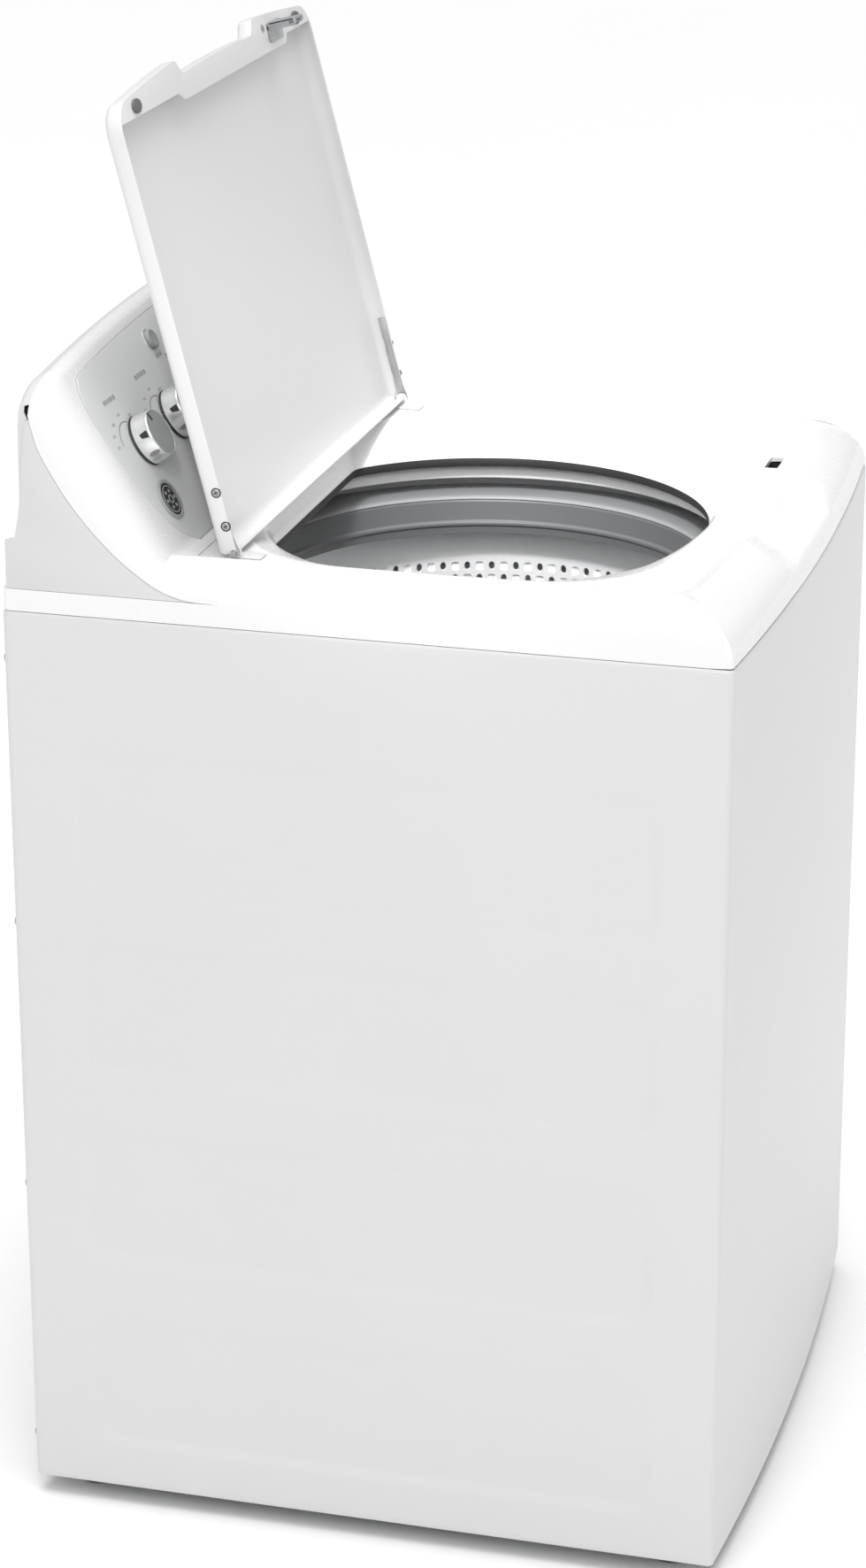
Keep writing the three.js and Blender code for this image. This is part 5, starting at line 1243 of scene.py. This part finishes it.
def rear_fittings():
    rear = millimetres("rear_panel")[1].y
    low, high = millimetres("inlet_valve")
    x, z = port("inlet_valve")
    outline = rounded_rectangle(x - 44, x + 44, z - 17, z + 17, 4)
    plate = bevel(prism("plate", outline, -rear + 1, -rear + 6, ALONG_Y), 0.6)
    pieces = [plate, block("bridge", x - 12, x + 12, rear - 40, rear - 10, z - 8, z + 8)]
    for middle in (x - 24, x + 24):
        coil = block("coil", middle - 15, middle + 15, rear - 45, rear - 5, z - 16, z + 16)
        pieces.append(bevel(coil, 1.5, 3))
        threads = [(8.5, -rear + 2), (11.2, -rear + 6)]
        for k in range(5):
            threads += [(11.2, -rear - 2.4 * k), (12, -rear - 0.9 - 2.4 * k), (12, -rear - 1.3 - 2.4 * k)]
        threads += [(11, -high.y + 0.8), (10.4, -high.y), (8.5, -high.y)]
        pieces.append(lathe("nipple", threads, middle, z, 64, ALONG_Y))
    settle(merged("inlet_valve_body", *pieces), LIGHT_PLASTIC, replaces=["inlet_valve"])
    section = [(12.6, -rear - 0.1), (15, -rear - 0.1), (15, -rear - 1), (12.6, -rear - 1)]
    for middle, heat, tint in ((x - 24, "hot", RED_MARK), (x + 24, "cold", BLUE_MARK)):
        band = lathe(f"inlet_mark_{heat}", section, middle, z, 48, ALONG_Y)
        settle(band, tint)

    x, z = port("drain_spout")
    low, high = millimetres("drain_spout")
    profile = [(14, -low.y), (27, -low.y), (27, -low.y - 3), (20, -low.y - 3), (20, -low.y - 6),
               (16.5, -low.y - 6), (16.5, -high.y + 8), (17.6, -high.y + 5.5), (16.2, -high.y + 1),
               (15.2, -high.y), (14, -high.y)]
    spout = lathe("drain_spout_bush", eased(profile, 0.7, 2), x, z, 72, ALONG_Y)
    settle(spout, NEAR_BLACK, replaces=["drain_spout"])

    x, z = port("cord_gland")
    low, high = millimetres("cord_gland")
    profile = [(5, -low.y), (11, -low.y), (11, -low.y - 4.5), (15, -low.y - 4.5), (15, -low.y - 8),
               (9, -high.y), (5, -high.y)]
    gland = lathe("cord_gland_bush", eased(profile, 0.8, 3), x, z, 64, ALONG_Y)
    settle(gland, NEAR_BLACK, replaces=["cord_gland"])


feet()
rear_fittings()


# ---- camera, light and floor

# The camera fitted to the photograph's straight edges: metres, degrees, and millimetres of lens.
CAMERA_PLACE = (-3.63167, -0.96397, 2.03269)
CAMERA_YAW, CAMERA_PITCH, CAMERA_ROLL = 15.25, 20.19, -0.12
CAMERA_LENS = 93.34
FLOOR_REACH = 60000


def studio():
    scene = bpy.context.scene
    far = FLOOR_REACH
    floor = shape("floor", [(-far, -far, 0), (far, -far, 0), (far, far, 0), (-far, far, 0)], [(0, 1, 2, 3)])
    floor.location.z = -0.0005
    floor.data.materials.append(FLOOR)

    world = bpy.data.worlds.new("studio")
    world.use_nodes = True
    world.node_tree.nodes["Background"].inputs["Color"].default_value = (1, 1, 1, 1)
    world.node_tree.nodes["Background"].inputs["Strength"].default_value = 0.57
    scene.world = world

    def hang(light, place, aim):
        lamp = bpy.data.objects.new(light.name, light)
        lamp.location = place
        lamp.rotation_euler = aim.to_track_quat("-Z", "Y").to_euler()
        scene.collection.objects.link(lamp)

    overhead = bpy.data.lights.new("overhead", "SUN")
    overhead.energy, overhead.angle = 1.45, math.radians(50)
    hang(overhead, (0, 0, 0), Vector((0.1, 0.02, -1)))
    for name, place, size, power in (("softbox_top", (-0.5, -0.2, 4.0), 2.4, 26),
                                     ("softbox_key", (-3.2, -0.5, 2.8), 1.8, 34)):
        softbox = bpy.data.lights.new(name, "AREA")
        softbox.shape, softbox.size, softbox.energy = "SQUARE", size, power
        hang(softbox, place, Vector((0, 0, 0.7)) - Vector(place))
    snoot = bpy.data.lights.new("snoot", "SPOT")
    snoot.energy, snoot.spot_size, snoot.spot_blend = 290, math.radians(13.5), 0.7
    snoot.shadow_soft_size = 0.15
    hang(snoot, (-1.6, -0.15, 2.6), Vector((1.75, 0.12, -1.73)))

    yaw, pitch, roll = (math.radians(a) for a in (CAMERA_YAW, CAMERA_PITCH, CAMERA_ROLL))
    level = math.cos(pitch)
    forward = Vector((math.cos(yaw) * level, math.sin(yaw) * level, -math.sin(pitch)))
    camera = bpy.data.objects.new("camera", bpy.data.cameras.new("camera"))
    camera.location = CAMERA_PLACE
    aim = forward.to_track_quat("-Z", "Y").to_matrix()
    camera.rotation_euler = (aim @ Matrix.Rotation(roll, 3, "Z")).to_euler()
    camera.data.lens = CAMERA_LENS
    camera.data.clip_end = 200
    scene.collection.objects.link(camera)
    scene.camera = camera
    scene.view_settings.view_transform = "Standard"


studio()
